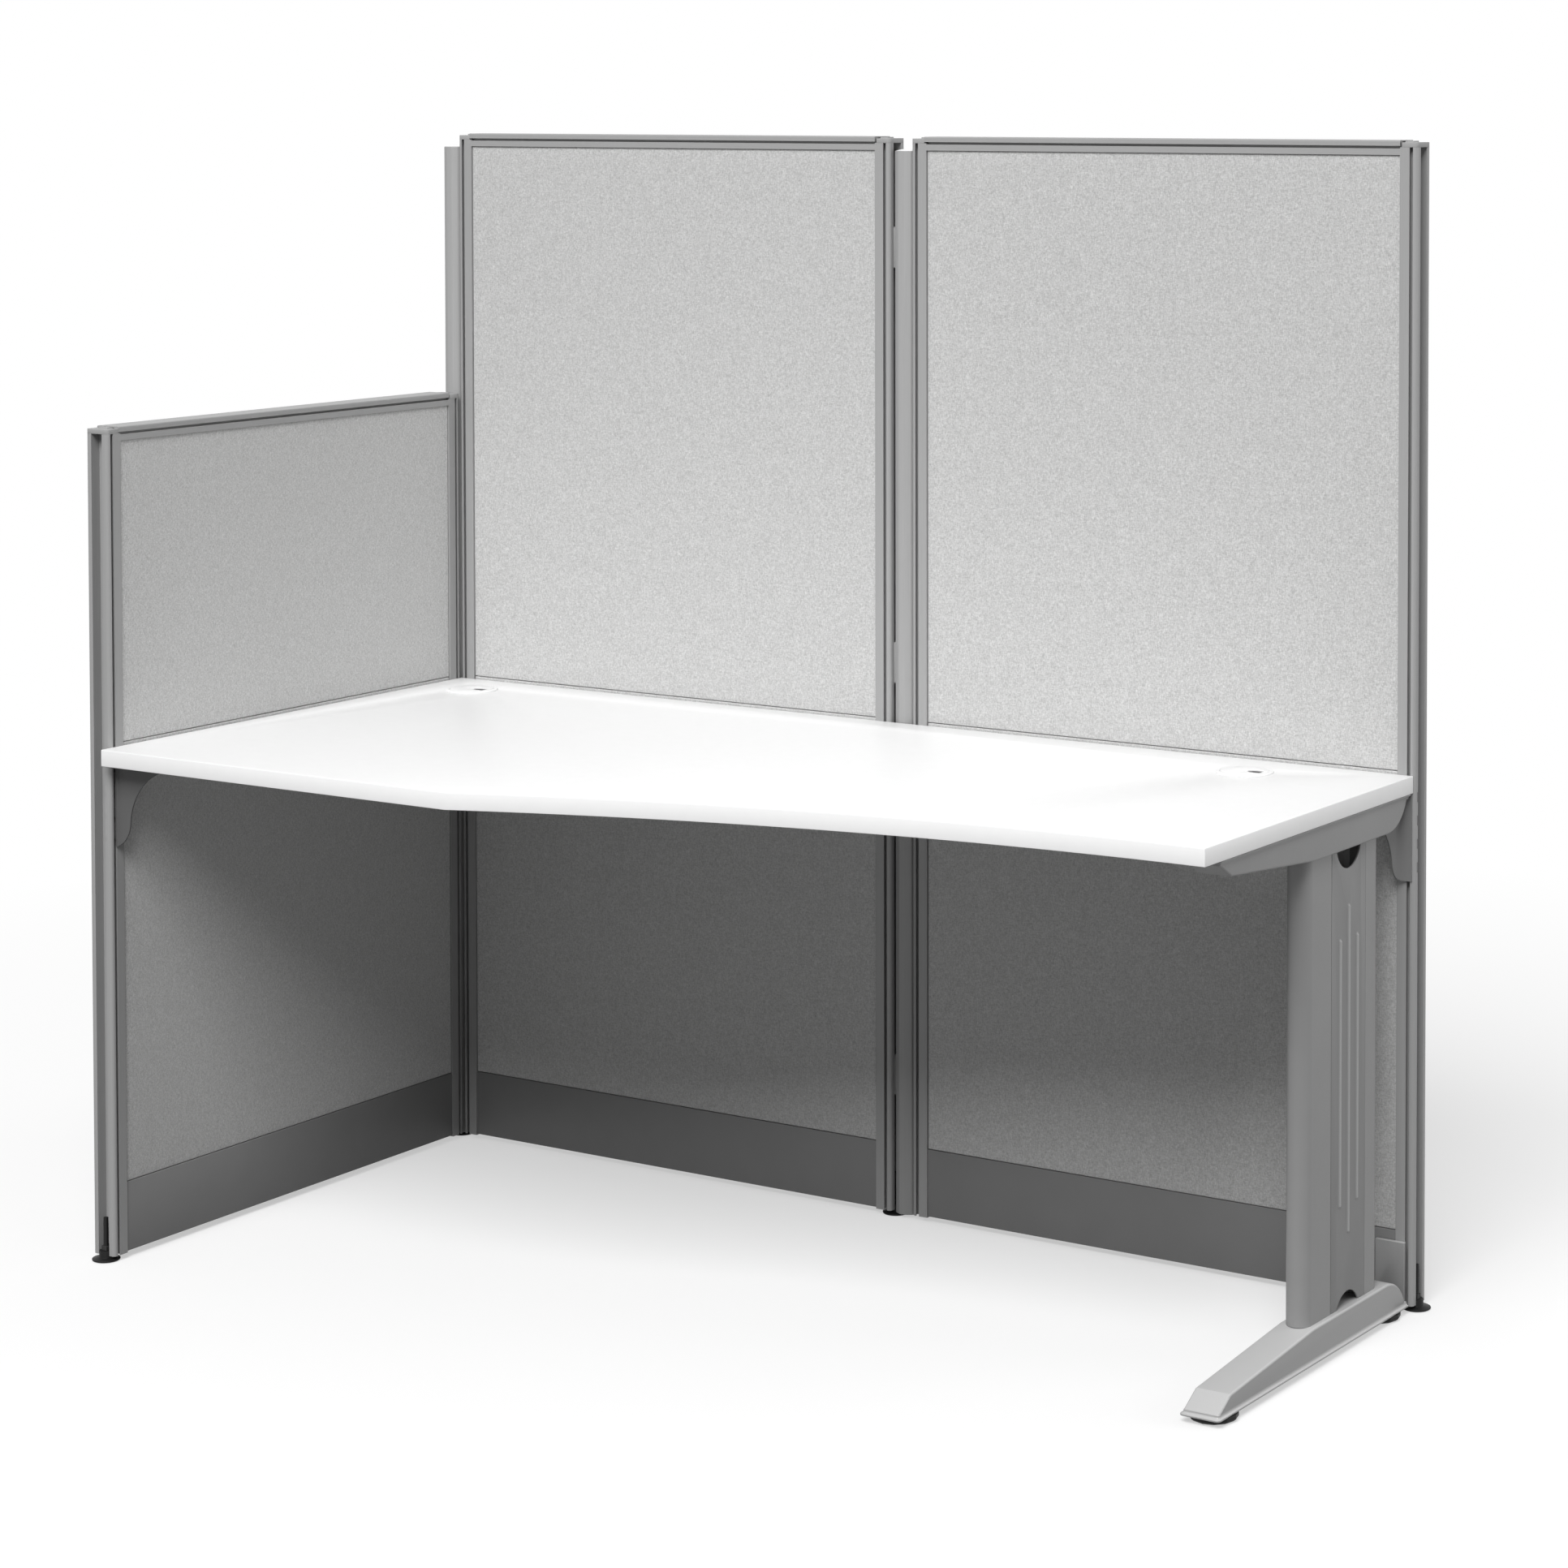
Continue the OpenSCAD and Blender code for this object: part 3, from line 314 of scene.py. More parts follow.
finishes = {
    "cloth": woven_cloth(),
    "alloy_upright": drawn_alloy("panel_alloy_upright", (DRAW_FINE, DRAW_FINE, DRAW_LONG)),
    "alloy_along_x": drawn_alloy("panel_alloy_along_x", (DRAW_LONG, DRAW_FINE, DRAW_FINE)),
    "alloy_along_y": drawn_alloy("panel_alloy_along_y", (DRAW_FINE, DRAW_LONG, DRAW_FINE)),
    "end_block": powder_coat("end_cap_grey", grey=0.345, roughness=0.45, gloss=0.15),
    "core": pressed_board(),
    "kick": powder_coat("kick_paint", grey=0.188, roughness=0.6),
    "laminate": white_laminate(),
    "white": moulded_plastic("white_plastic", grey=0.86, roughness=0.42, grain_size=1.2 * MM),
    "black": moulded_plastic("black_plastic", grey=0.008, roughness=0.5, grain_size=0.8 * MM, gloss=0.2),
    "bracket": powder_coat("bracket_paint", grey=0.115, roughness=0.45, gloss=0.15),
    "leg_bracket": powder_coat("bracket_paint_pale", grey=0.22, roughness=0.5, gloss=0.1),
    "casting": silver_paint_with_painted_top_light(),
    "leg": powder_coat("leg_paint", grey=0.258, roughness=0.42, gloss=0.35),
    "cover": ribbed_cover_with_painted_highlight(),
    # Painted light: the inner cover's pale grey lightens the shaded inside of the cable mouths.
    "inner_cover_painted_light": moulded_plastic("inner_cover_plastic_painted_light", grey=0.6, roughness=0.5, grain_size=0.9 * MM),
    "steel": powder_coat("screw_steel", grey=0.55, roughness=0.28, metallic=1.0, peel=0.02 * MM),
}


# Pieces

# Corners closer than this are one: in a mesh made here, and in a copy of a node's mesh.
MADE_MERGE = 0.001 * MM
COPY_MERGE = 0.002 * MM
# Angles in degrees: between copied faces that are one flat face, of an edge and of a blunt edge that is eased,
# and of one that is shaded sharp.
FLAT_ANGLE = 0.5
EASED_ANGLE = 26
BLUNT_ANGLE = 20
CREASE = 32
# Steps in a rounded edge, and in a finer one.
ROUND_STEPS = 2
FINE_STEPS = 3


def plain_mesh(name, points, faces):
    """A mesh of the points and faces, checked."""
    mesh = bpy.data.meshes.new(name)
    mesh.from_pydata(points, [], faces)
    mesh.validate()
    return mesh


def outward(mesh):
    """The mesh with its corners merged and its faces turned outwards."""
    work = bmesh.new()
    work.from_mesh(mesh)
    bmesh.ops.remove_doubles(work, verts=work.verts, dist=MADE_MERGE)
    bmesh.ops.recalc_face_normals(work, faces=work.faces)
    work.to_mesh(mesh)
    work.free()
    return mesh


class Shell:
    """Points and faces of one or more closed skins in the making."""

    def __init__(self):
        self.points, self.faces = [], []

    def stitch(self, first, count, closed=False):
        """Joins rows of count points each with faces, from the first point to the newest.
        In closed rows the last point is next to the first."""
        for near in range(first, len(self.points) - count, count):
            for i in range(count if closed else count - 1):
                j = (i + 1) % count
                self.faces.append((near + i, near + j, near + count + j, near + count + i))

    def close_rows(self, first, count):
        """Closes a skin of stitched open rows: over its first row, its last row and all their ends."""
        starts = list(range(first, len(self.points), count))
        self.faces.append(tuple(range(first, first + count)))
        self.faces.append(tuple(reversed(range(starts[-1], starts[-1] + count))))
        self.faces.append(tuple(starts + [start + count - 1 for start in reversed(starts)]))

    def turned(self, line, steps):
        """Adds the shape turned round Z from a line of (radius, height) that starts and ends on the axis."""
        first = len(self.points)
        for radius, height in line:
            for step in range(steps):
                turn = 2 * math.pi * step / steps
                self.points.append((radius * math.cos(turn), radius * math.sin(turn), height))
        self.stitch(first, steps, closed=True)
        return self

    def block(self, low, high, edge):
        """Adds a block with rounded edges."""
        work = bmesh.new()
        for vertex in bmesh.ops.create_cube(work, size=1.0)["verts"]:
            vertex.co = Vector(tuple(l + (h - l) * (c + 0.5) for l, h, c in zip(low, high, vertex.co)))
        bmesh.ops.bevel(work, geom=list(work.edges), offset=edge, segments=FINE_STEPS, profile=0.5, affect="EDGES")
        work.verts.index_update()
        first = len(self.points)
        self.points.extend(tuple(vertex.co) for vertex in work.verts)
        self.faces.extend(tuple(first + vertex.index for vertex in face.verts) for face in work.faces)
        work.free()

    def mesh(self, name):
        """The plain mesh, its faces turned outwards."""
        return outward(plain_mesh(name, self.points, self.faces))


def set_piece(name, mesh, finish, body, slot, *replaced, crease=CREASE):
    """A finished mesh becomes a piece: its shading, its finish and the body it rides on."""
    for polygon in mesh.polygons:
        polygon.use_smooth = True
    mesh.set_sharp_from_angle(angle=math.radians(crease))
    mesh.materials.clear()
    mesh.materials.append(finishes[finish])
    piece = bpy.data.objects.new(name, mesh)
    bpy.context.scene.collection.objects.link(piece)
    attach(piece, body)
    if replaced:
        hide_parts(*replaced)


def modified(mesh, change):
    """The mesh after the modifiers that change() adds, as a plain mesh."""
    bench = bpy.data.objects.new("bench", mesh)
    bpy.context.scene.collection.objects.link(bench)
    change(bench)
    depsgraph = bpy.context.evaluated_depsgraph_get()
    result = bpy.data.meshes.new_from_object(bench.evaluated_get(depsgraph))
    bpy.data.objects.remove(bench)
    return result


def rounding(radius, segments=ROUND_STEPS, angle=EASED_ANGLE):
    """A change that rounds the edges that are sharper than the angle in degrees."""
    def change(bench):
        bevel = bench.modifiers.new("eased", "BEVEL")
        bevel.width = radius
        bevel.segments = segments
        bevel.limit_method = "ANGLE"
        bevel.angle_limit = math.radians(angle)
        bevel.use_clamp_overlap = True
        bevel.miter_outer = "MITER_ARC"
    return change


def eased_copy(node, radius, **rounds):
    """A copy of a node's mesh with merged corners, whole flat faces and eased edges."""
    work = bmesh.new()
    work.from_mesh(nodes[node].data)
    bmesh.ops.remove_doubles(work, verts=work.verts, dist=COPY_MERGE)
    bmesh.ops.dissolve_limit(work, angle_limit=math.radians(FLAT_ANGLE), verts=work.verts, edges=work.edges)
    mesh = bpy.data.meshes.new(node)
    work.to_mesh(mesh)
    work.free()
    return modified(mesh, rounding(radius, **rounds))


def eased(node, radius, finish, slot, **rounds):
    """The node's own shape with its sharp edges eased."""
    mesh = eased_copy(node, radius, **rounds)
    set_piece(f"{node}_eased", mesh, finish, nodes[node]["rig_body"], slot, node)


# Fabric tiles

# Radius of the wrapped edge and steps in its round, on the rim and in the outline's corners.
TILE_EDGE = 1.2 * MM
EDGE_STEPS = 5
CORNER_STEPS = 4
LEAST_CORNER = 0.05 * MM
# Height of the padded face's crown, and how far in from the edge it rises, in steps.
TILE_CROWN = 0.5 * MM
CROWN_RUN = 22 * MM
CROWN_STEPS = 4
TILE_CREASE = 60


def tile_rings(depth):
    """Rings of a wrapped board, from the back edge over the rounded edge to the crowned face.
    Each ring is an inset from the outline and a height above the tile's back."""
    rings = [(0.0, 0.0), (0.0, depth - TILE_EDGE - TILE_CROWN)]
    for step in range(1, EDGE_STEPS + 1):
        turn = math.pi / 2 * step / EDGE_STEPS
        rings.append((TILE_EDGE * (1 - math.cos(turn)),
                      depth - TILE_CROWN - TILE_EDGE * (1 - math.sin(turn))))
    for step in range(1, CROWN_STEPS + 1):
        share = step / CROWN_STEPS
        rise = math.sin(math.pi / 2 * share)
        rings.append((TILE_EDGE + CROWN_RUN * share, depth - TILE_CROWN * (1 - rise)))
    return rings


def tile_mesh(name, width, height, depth):
    """Wrapped board in its own frame: X along, Y up, Z out of the face."""
    shell = Shell()
    for inset, z in tile_rings(depth):
        round_r = max(TILE_EDGE - inset, LEAST_CORNER)
        near = inset + round_r
        far_x, far_y = width - inset - round_r, height - inset - round_r
        for x, y, start in ((far_x, far_y, 0), (near, far_y, 90), (near, near, 180), (far_x, near, 270)):
            for step in range(CORNER_STEPS + 1):
                turn = math.radians(start + 90 * step / CORNER_STEPS)
                shell.points.append((x + round_r * math.cos(turn), y + round_r * math.sin(turn), z))
    count = 4 * (CORNER_STEPS + 1)
    shell.stitch(0, count, closed=True)
    shell.faces.append(tuple(reversed(range(count))))
    shell.faces.append(tuple(range(len(shell.points) - count, len(shell.points))))
    return plain_mesh(name, shell.points, shell.faces)


def fabric_tile(panel, tile):
    """Wrapped tile in the place of its node, its face away from the panel's core."""
    node = f"{panel}_tile_{tile}"
    low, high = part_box(node)
    size = high - low
    front = tile[0] == "f"
    if panel == "side":
        out = 1 if front else -1
        mesh = tile_mesh(node, size.y, size.z, size.x)
        along, face = Vector((0, out, 0)), Vector((out, 0, 0))
        start = Vector((low.x if front else high.x, low.y if front else high.y, low.z))
    else:
        out = -1 if front else 1
        mesh = tile_mesh(node, size.x, size.z, size.y)
        along, face = Vector((-out, 0, 0)), Vector((0, out, 0))
        start = Vector((low.x if front else high.x, high.y if front else low.y, low.z))
    place = Matrix((along, Vector((0, 0, 1)), face)).transposed().to_4x4()
    place.translation = start
    mesh.transform(place)
    set_piece(f"{node}_wrapped", mesh, "cloth", BODY, "tile_fabric", node, crease=TILE_CREASE)


for panel in PANELS:
    for tile in ("fu", "fl", "bu", "bl"):
        fabric_tile(panel, tile)


# Frames, plates and mouldings

# Radii of eased edges.
BLOCK_EDGE = 0.3 * MM
KICK_EDGE = 0.7 * MM
POST_EDGE = 1.4 * MM
MOULDED_EDGE = 0.5 * MM
CAP_EDGE = 0.4 * MM
# How much further a panel foot's stem runs up, and how far below its end the raised part starts.
STEM_RISE = 16 * MM
STEM_END = 2 * MM


def finish_node(node, finish):
    """A node that keeps its own shape gets its finish."""
    mesh = nodes[node].data
    mesh.materials.clear()
    mesh.materials.append(finishes[finish])


def levelling_foot(place):
    """Foot with its edges eased and its stem run up higher in the channel."""
    node = f"foot_{place}"
    mesh = eased_copy(node, MOULDED_EDGE)
    stem_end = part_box(node)[1].z - STEM_END
    for vertex in mesh.vertices:
        if vertex.co.z > stem_end:
            vertex.co.z += STEM_RISE
    set_piece(f"{node}_turned", mesh, "black", f"{node}_body", "black_plastic", node)


for panel in PANELS:
    for end in ("a", "b"):
        finish_node(f"{panel}_stile_{end}", "alloy_upright")
    finish_node(f"{panel}_top_rail", "alloy_along_y" if panel == "side" else "alloy_along_x")
    finish_node(f"{panel}_core", "core")
for node in ("leg_front_column", "leg_rear_column"):
    finish_node(node, "leg")
# Painted light: this pale grey lightens the shaded inside of the cable mouths.
finish_node("leg_inner_cover", "inner_cover_painted_light")

for panel in PANELS:
    for end in ("a", "b"):
        eased(f"{panel}_end_cap_{end}", BLOCK_EDGE, "end_block", "end_cap_grey")
    for face in ("f", "b"):
        eased(f"{panel}_kick_{face}", KICK_EDGE, "kick", "kick_paint")
for post in ("corner_post", "mid_post"):
    eased(post, POST_EDGE, "alloy_upright", "panel_alloy", segments=FINE_STEPS, angle=BLUNT_ANGLE)
    eased(f"{post}_plug", MOULDED_EDGE, "white", "white_plastic")
for side in ("left", "right"):
    eased(f"grommet_{side}", MOULDED_EDGE, "white", "white_plastic")
    eased(f"grommet_cap_{side}", CAP_EDGE, "white", "white_plastic")
for place in ("front", "corner", "mid", "right"):
    levelling_foot(place)
eased("leg_outer_cover", MOULDED_EDGE, "cover", "cover_plastic", angle=BLUNT_ANGLE)


# Castings of the leg. S is how far a point lies in front of the wall side of the leg.

foot_low, foot_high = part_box("leg_foot_beam")
top_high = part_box("leg_top_beam")[1]
WALL_Y = foot_high.y
LEG_X = (foot_low.x + foot_high.x) / 2
FLOOR_GAP = foot_low.z
DESK_UNDER = top_high.z
CASTING_REAR = WALL_Y - top_high.y
CASTING_FRONT = WALL_Y - foot_low.y
# Body: width, front, and the nose, ridge, level top and rear fall of its side line, each with its radius.
BODY_W = 51 * MM
BODY_FRONT = 541 * MM
NOSE_H = 7 * MM
NOSE_R = 3.4 * MM
RIDGE_S = 509 * MM
RIDGE_H = 25.5 * MM
RIDGE_R = 3.4 * MM
LEVEL_S = 280 * MM
LEVEL_H = 45.5 * MM
LEVEL_R = 60 * MM
FALL_S = 66 * MM
FALL_R = 60.5 * MM
FALL_STEPS = 16
LINE_STEPS = 6
BODY_EDGE = 3.2 * MM
BODY_EDGE_STEPS = 6
# Base flange: width, thickness, upper and lower edge, and the radii of its front corners and of the body's.
BASE_W = foot_high.x - foot_low.x
BASE_T = 2.6 * MM
BASE_EDGE = 1.2 * MM
UNDER_EDGE = 0.5 * MM
BASE_CORNER_R = 6 * MM
BODY_CORNER_R = 3 * MM
BASE_CORNER_STEPS = 8
# Hollow fillet from base to body: height, share of the flange that it covers, and laps into and up the body.
FILLET = 4.2 * MM
FILLET_SHARE = 0.8
FILLET_LAP = 0.12
FILLET_OVER = 1.05
FILLET_STEPS = 5
# Shares of the flange's width that its rounded rim and its lower edge take.
RIM_SHARE = 0.18
UNDER_SHARE = 0.12
RIM_STEPS = 4
# Plate at the rear of the foot casting.
HEEL_W = 44.2 * MM
HEEL_TOP = foot_high.z
HEEL_EDGE = 1.0 * MM
CASTING_CREASE = 28


def filleted(points, radii):
    """The open line of points with each inner corner rounded to its radius."""
    line = [Vector(points[0])]
    for before, corner, after, radius in zip(points, points[1:], points[2:], radii):
        before, corner, after = Vector(before), Vector(corner), Vector(after)
        back, ahead = (before - corner).normalized(), (after - corner).normalized()
        half = math.acos(max(-1, min(1, back.dot(ahead)))) / 2
        reach = radius / math.tan(half)
        centre = corner + (back + ahead).normalized() * radius / math.sin(half)
        first, last = corner + back * reach - centre, corner + ahead * reach - centre
        turn = first.angle_signed(last)
        for step in range(LINE_STEPS + 1):
            line.append(centre + Matrix.Rotation(-turn * step / LINE_STEPS, 2) @ first)
    line.append(Vector(points[-1]))
    return line


def casting_line():
    """Side line of the body, from the front of the base over the ridge to the rear, as (S, height)."""
    line = filleted(
        [(BODY_FRONT, 0.0), (BODY_FRONT, NOSE_H), (RIDGE_S, RIDGE_H), (LEVEL_S, LEVEL_H), (FALL_S, LEVEL_H)],
        [NOSE_R, RIDGE_R, LEVEL_R],
    )
    centre = Vector((FALL_S, LEVEL_H - FALL_R))
    whole_turn = math.acos(-centre.y / FALL_R)
    for step in range(1, FALL_STEPS + 1):
        turn = whole_turn * step / FALL_STEPS
        line.append(centre + Vector((-math.sin(turn), math.cos(turn))) * FALL_R)
    return line


def drawn_in(line, inset):
    """The line moved inwards by inset, square to itself, its ends kept on the base."""
    moved = []
    for i, point in enumerate(line):
        before, after = line[max(i - 1, 0)], line[min(i + 1, len(line) - 1)]
        run = (after - before).normalized()
        moved.append(point - Vector((run.y, -run.x)) * inset)
        moved[-1].y = max(moved[-1].y, 0.0)
    moved[0].y = moved[-1].y = 0.0
    return moved


def casting_body(shell, height_of):
    """Body of a casting: lines side by side across the width, rounded over along both upper edges."""
    line = casting_line()
    half = []
    for step in range(BODY_EDGE_STEPS + 1):
        turn = math.pi / 2 * step / BODY_EDGE_STEPS
        half.append((BODY_EDGE * (1 - math.cos(turn)) - BODY_W / 2, BODY_EDGE * (1 - math.sin(turn))))
    first = len(shell.points)
    for x, inset in half + [(-x, inset) for x, inset in reversed(half)]:
        for point in drawn_in(line, inset):
            shell.points.append((LEG_X + x, WALL_Y - point.x, height_of(point.y)))
    shell.stitch(first, len(line))
    shell.close_rows(first, len(line))


def base_path(inset_side, inset_front, radius):
    """Plan line round the base, open at the rear, as (across, S)."""
    half = BASE_W / 2 - inset_side
    front = CASTING_FRONT - inset_front
    line = [(-half, CASTING_REAR), (-half, front - radius)]
    for step in range(1, BASE_CORNER_STEPS + 1):
        turn = math.pi / 2 * step / BASE_CORNER_STEPS
        line.append((-half + radius * (1 - math.cos(turn)), front - radius * (1 - math.sin(turn))))
    return line + [(-x, s) for x, s in reversed(line)]


def casting_base(shell, height_of):
    """Base flange with its hollow fillet up to the body and its eased rim.
    Each ring is an inset, as a share of the flange's width beside the body, and a height."""
    side_w = (BASE_W - BODY_W) / 2
    front_w = CASTING_FRONT - BODY_FRONT
    rings = [(1.0 + FILLET_LAP, BASE_T + FILLET * FILLET_OVER), (1.0, BASE_T + FILLET)]
    for step in range(1, FILLET_STEPS + 1):
        turn = math.pi / 2 * step / FILLET_STEPS
        rings.append((1 - FILLET_SHARE * (1 - math.cos(turn)), BASE_T + FILLET * (1 - math.sin(turn))))
    for step in range(RIM_STEPS + 1):
        turn = math.pi / 2 * step / RIM_STEPS
        rings.append((RIM_SHARE * (1 - math.sin(turn)), BASE_T - BASE_EDGE * (1 - math.cos(turn))))
    rings += [(0.0, UNDER_EDGE), (UNDER_SHARE, 0.0)]
    first = len(shell.points)
    for inset, height in rings:
        radius = BASE_CORNER_R - (BASE_CORNER_R - BODY_CORNER_R) * min(inset, 1)
        path = base_path(side_w * inset, front_w * inset, radius)
        shell.points += [(LEG_X + x, WALL_Y - s, height_of(height)) for x, s in path]
    shell.stitch(first, len(path))
    shell.close_rows(first, len(path))


def casting(node, height_of, finish, heel=False):
    """Casting in the place of its node: body, base and, on the foot, the plate at its rear."""
    shell = Shell()
    casting_body(shell, height_of)
    casting_base(shell, height_of)
    if heel:
        shell.block((LEG_X - HEEL_W / 2, WALL_Y - CASTING_REAR, FLOOR_GAP),
                    (LEG_X + HEEL_W / 2, WALL_Y, HEEL_TOP), HEEL_EDGE)
    set_piece(f"{node}_cast", shell.mesh(node), finish, BODY, "leg_casting", node, crease=CASTING_CREASE)


casting("leg_foot_beam", lambda height: FLOOR_GAP + height, "casting", heel=True)
casting("leg_top_beam", lambda height: DESK_UNDER - height, "leg")


# Brackets

# Gusset: thickness of the sheet, height, reach, radius of the hollow, and steps in foot, hollow and bend.
# Strips lower than the least one are left out.
SHEET = 2 * MM
GUSSET_H = 121 * MM
GUSSET_REACH = 92 * MM
GUSSET_R = 86 * MM
FOOT_STEPS = 14
HOLLOW_STEPS = 18
BEND_STEPS = 12
LEAST_STRIP = 0.2 * MM
# Flange under the worktop.
TOP_FLANGE_W = 24 * MM
FLANGE_UNDER = DESK_UNDER - SHEET
# Stile: how deep its slot and the near side of its end channel lie under its face, and where the slot starts.
SLOT_D = 8.6 * MM
CHANNEL_D = 10.4 * MM
SLOT_START = 6.7 * MM
# Arm of a hook: where it starts in the slot's chamber and in the slot, its thickness and the gap around it.
CHAMBER_START = 4.0 * MM
ARM_START = 9.1 * MM
ARM_W = 2.3 * MM
ARM_GAP = 0.4 * MM
# Hooks: the lowest one's height above the gusset's foot, their pitch and height, and their reach into the channel.
HOOKS = 4
HOOK_FIRST = 12 * MM
HOOK_PITCH = 32 * MM
HOOK_H = 12.9 * MM
HOOK_OUT = 1 * MM
HOOK_EDGE = 0.2 * MM
# Desk brackets: waist, height of the hollow, lean of the edge in degrees, bend, where the flange, the plate
# and the arms lie across the stile, and the tips' lap in the slot.
DESK_WAIST = 25.5 * MM
DESK_HOLLOW_H = 33 * MM
DESK_LEAN = 3
DESK_BEND_R = 1.2 * MM
DESK_FLANGE_AT = 8.8 * MM
DESK_PLATE_AT = 11.2 * MM
DESK_ARM = (10.9 * MM, 11.6 * MM)
TIP_LAP = 1 * MM
TIP_EDGE = 0.05 * MM
# Leg bracket: the same, and the top end's lap in the casting.
LEG_WAIST = 25 * MM
LEG_HOLLOW_H = 14 * MM
LEG_LEAN = 8
LEG_BEND_R = 16 * MM
LEG_FLANGE_AT = 3.4 * MM
LEG_PLATE_AT = 19.4 * MM
CASTING_LAP = 0.5 * MM


def gusset_edge(waist, hollow_h, lean):
    """Lower edge of a gusset as (depth, height): a round foot that runs on into one long hollow."""
    lean = math.radians(lean)
    foot_r = (hollow_h + GUSSET_R * math.sin(lean)) / (1 - math.sin(lean))
    hollow_d = waist + GUSSET_R
    foot_d = hollow_d - (GUSSET_R + foot_r) * math.cos(lean)
    start, stop = math.acos(-foot_d / foot_r), math.acos((hollow_d - GUSSET_REACH + SHEET) / GUSSET_R)
    line = []
    for step in range(FOOT_STEPS + 1):
        turn = start + (lean - start) * step / FOOT_STEPS
        line.append((foot_d + foot_r * math.cos(turn), foot_r * (1 - math.sin(turn))))
    for step in range(1, HOLLOW_STEPS + 1):
        turn = lean + (stop - lean) * step / HOLLOW_STEPS
        line.append((hollow_d - GUSSET_R * math.cos(turn), hollow_h + GUSSET_R * math.sin(turn)))
    return line


def height_at(line, depth):
    """Height of the edge line at a depth."""
    for (d0, h0), (d1, h1) in zip(line, line[1:]):
        if d0 <= depth < d1:
            return h0 + (h1 - h0) * (depth - d0) / (d1 - d0)
    return line[-1][1]


def gusset_sheet(shell, place, edge, top_of, flange_at, plate_at, bend_r):
    """Bent sheet in upright strips: flange on the stile, bend, and plate down to its lower edge.
    A strip is its place across, its depth, its turn in the bend and its lowest height."""
    strips = [(flange_at, 0.0, 0.0, height_at(edge, 0.0))]
    for step in range(BEND_STEPS + 1):
        turn = math.pi / 2 * step / BEND_STEPS
        depth = bend_r * (1 - math.cos(turn))
        strips.append((plate_at - bend_r * (1 - math.sin(turn)), depth, turn, height_at(edge, depth)))
    for depth, height in edge:
        if 0 < depth < bend_r:
            turn = math.acos(1 - depth / bend_r)
            strips.append((plate_at - bend_r * (1 - math.sin(turn)), depth, turn, height))
        elif depth >= bend_r:
            strips.append((plate_at, depth, math.pi / 2, height))
    strips = sorted(set(strips), key=lambda strip: (strip[1], strip[0], strip[3]))
    strips = [strip for strip in strips if strip[3] < top_of(strip[1]) - LEAST_STRIP]
    first = len(shell.points)
    for x, depth, turn, low in strips:
        back_x, back_depth = x + SHEET * math.sin(turn), depth + SHEET * (1 - math.cos(turn))
        for across, out in ((x, depth + SHEET), (back_x, back_depth)):
            for height in (low, top_of(depth)):
                shell.points.append(place(across, out, DESK_UNDER - GUSSET_H + height))
    last = first + 4 * (len(strips) - 1)
    for i in range(first, last, 4):
        shell.faces += [(i, i + 1, i + 5, i + 4), (i + 2, i + 6, i + 7, i + 3),
                        (i, i + 4, i + 6, i + 2), (i + 1, i + 3, i + 7, i + 5)]
    shell.faces += [(first, first + 2, first + 3, first + 1), (last, last + 1, last + 3, last + 2)]


def placed_block(shell, place, low, high, edge=HOOK_EDGE):
    """Adds a block whose corners are given across, out of and up a stile."""
    one, other = place(*low), place(*high)
    shell.block(tuple(map(min, one, other)), tuple(map(max, one, other)), edge)


def hook_levels():
    """Heights of the hooks' lower ends."""
    return [DESK_UNDER - GUSSET_H + HOOK_FIRST + i * HOOK_PITCH for i in range(HOOKS)]


def side_place(x, out, z):
    """Point across, out of and up the side panel's first stile."""
    low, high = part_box("side_stile_a")
    return (high.x + out, low.y + x, z)


def left_place(x, out, z):
    """Point across, out of and up the left panel's first stile."""
    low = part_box("left_stile_a")[0]
    return (low.x + x, low.y - out, z)


def right_place(x, out, z):
    """Point across, out of and up the right panel's last stile."""
    low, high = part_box("right_stile_b")
    return (high.x - x, low.y - out, z)


def desk_bracket(node, place):
    """Bracket on a panel's first end: gusset, flange under the worktop and arms through the slot."""
    sheet, tips = Shell(), Shell()
    edge = gusset_edge(DESK_WAIST, DESK_HOLLOW_H, DESK_LEAN)
    gusset_sheet(sheet, place, edge, lambda depth: GUSSET_H, DESK_FLANGE_AT, DESK_PLATE_AT, DESK_BEND_R)
    placed_block(sheet, place, (DESK_PLATE_AT, 0.0, FLANGE_UNDER),
                 (DESK_PLATE_AT + TOP_FLANGE_W, GUSSET_REACH, DESK_UNDER))
    for z in hook_levels():
        placed_block(sheet, place, (DESK_ARM[0], -SLOT_D + ARM_GAP, z), (DESK_ARM[1], SHEET / 2, z + HOOK_H))
        placed_block(tips, place, (0.0, -CHANNEL_D, z - ARM_GAP),
                     (SLOT_START, -SLOT_D + TIP_LAP, z + HOOK_H + ARM_GAP), TIP_EDGE)
    set_piece(f"{node}_bent", sheet.mesh(node), "bracket", BODY, "bracket_paint", node)
    set_piece(f"{node}_tips", tips.mesh(f"{node}_tips"), "alloy_upright", BODY, "panel_alloy")


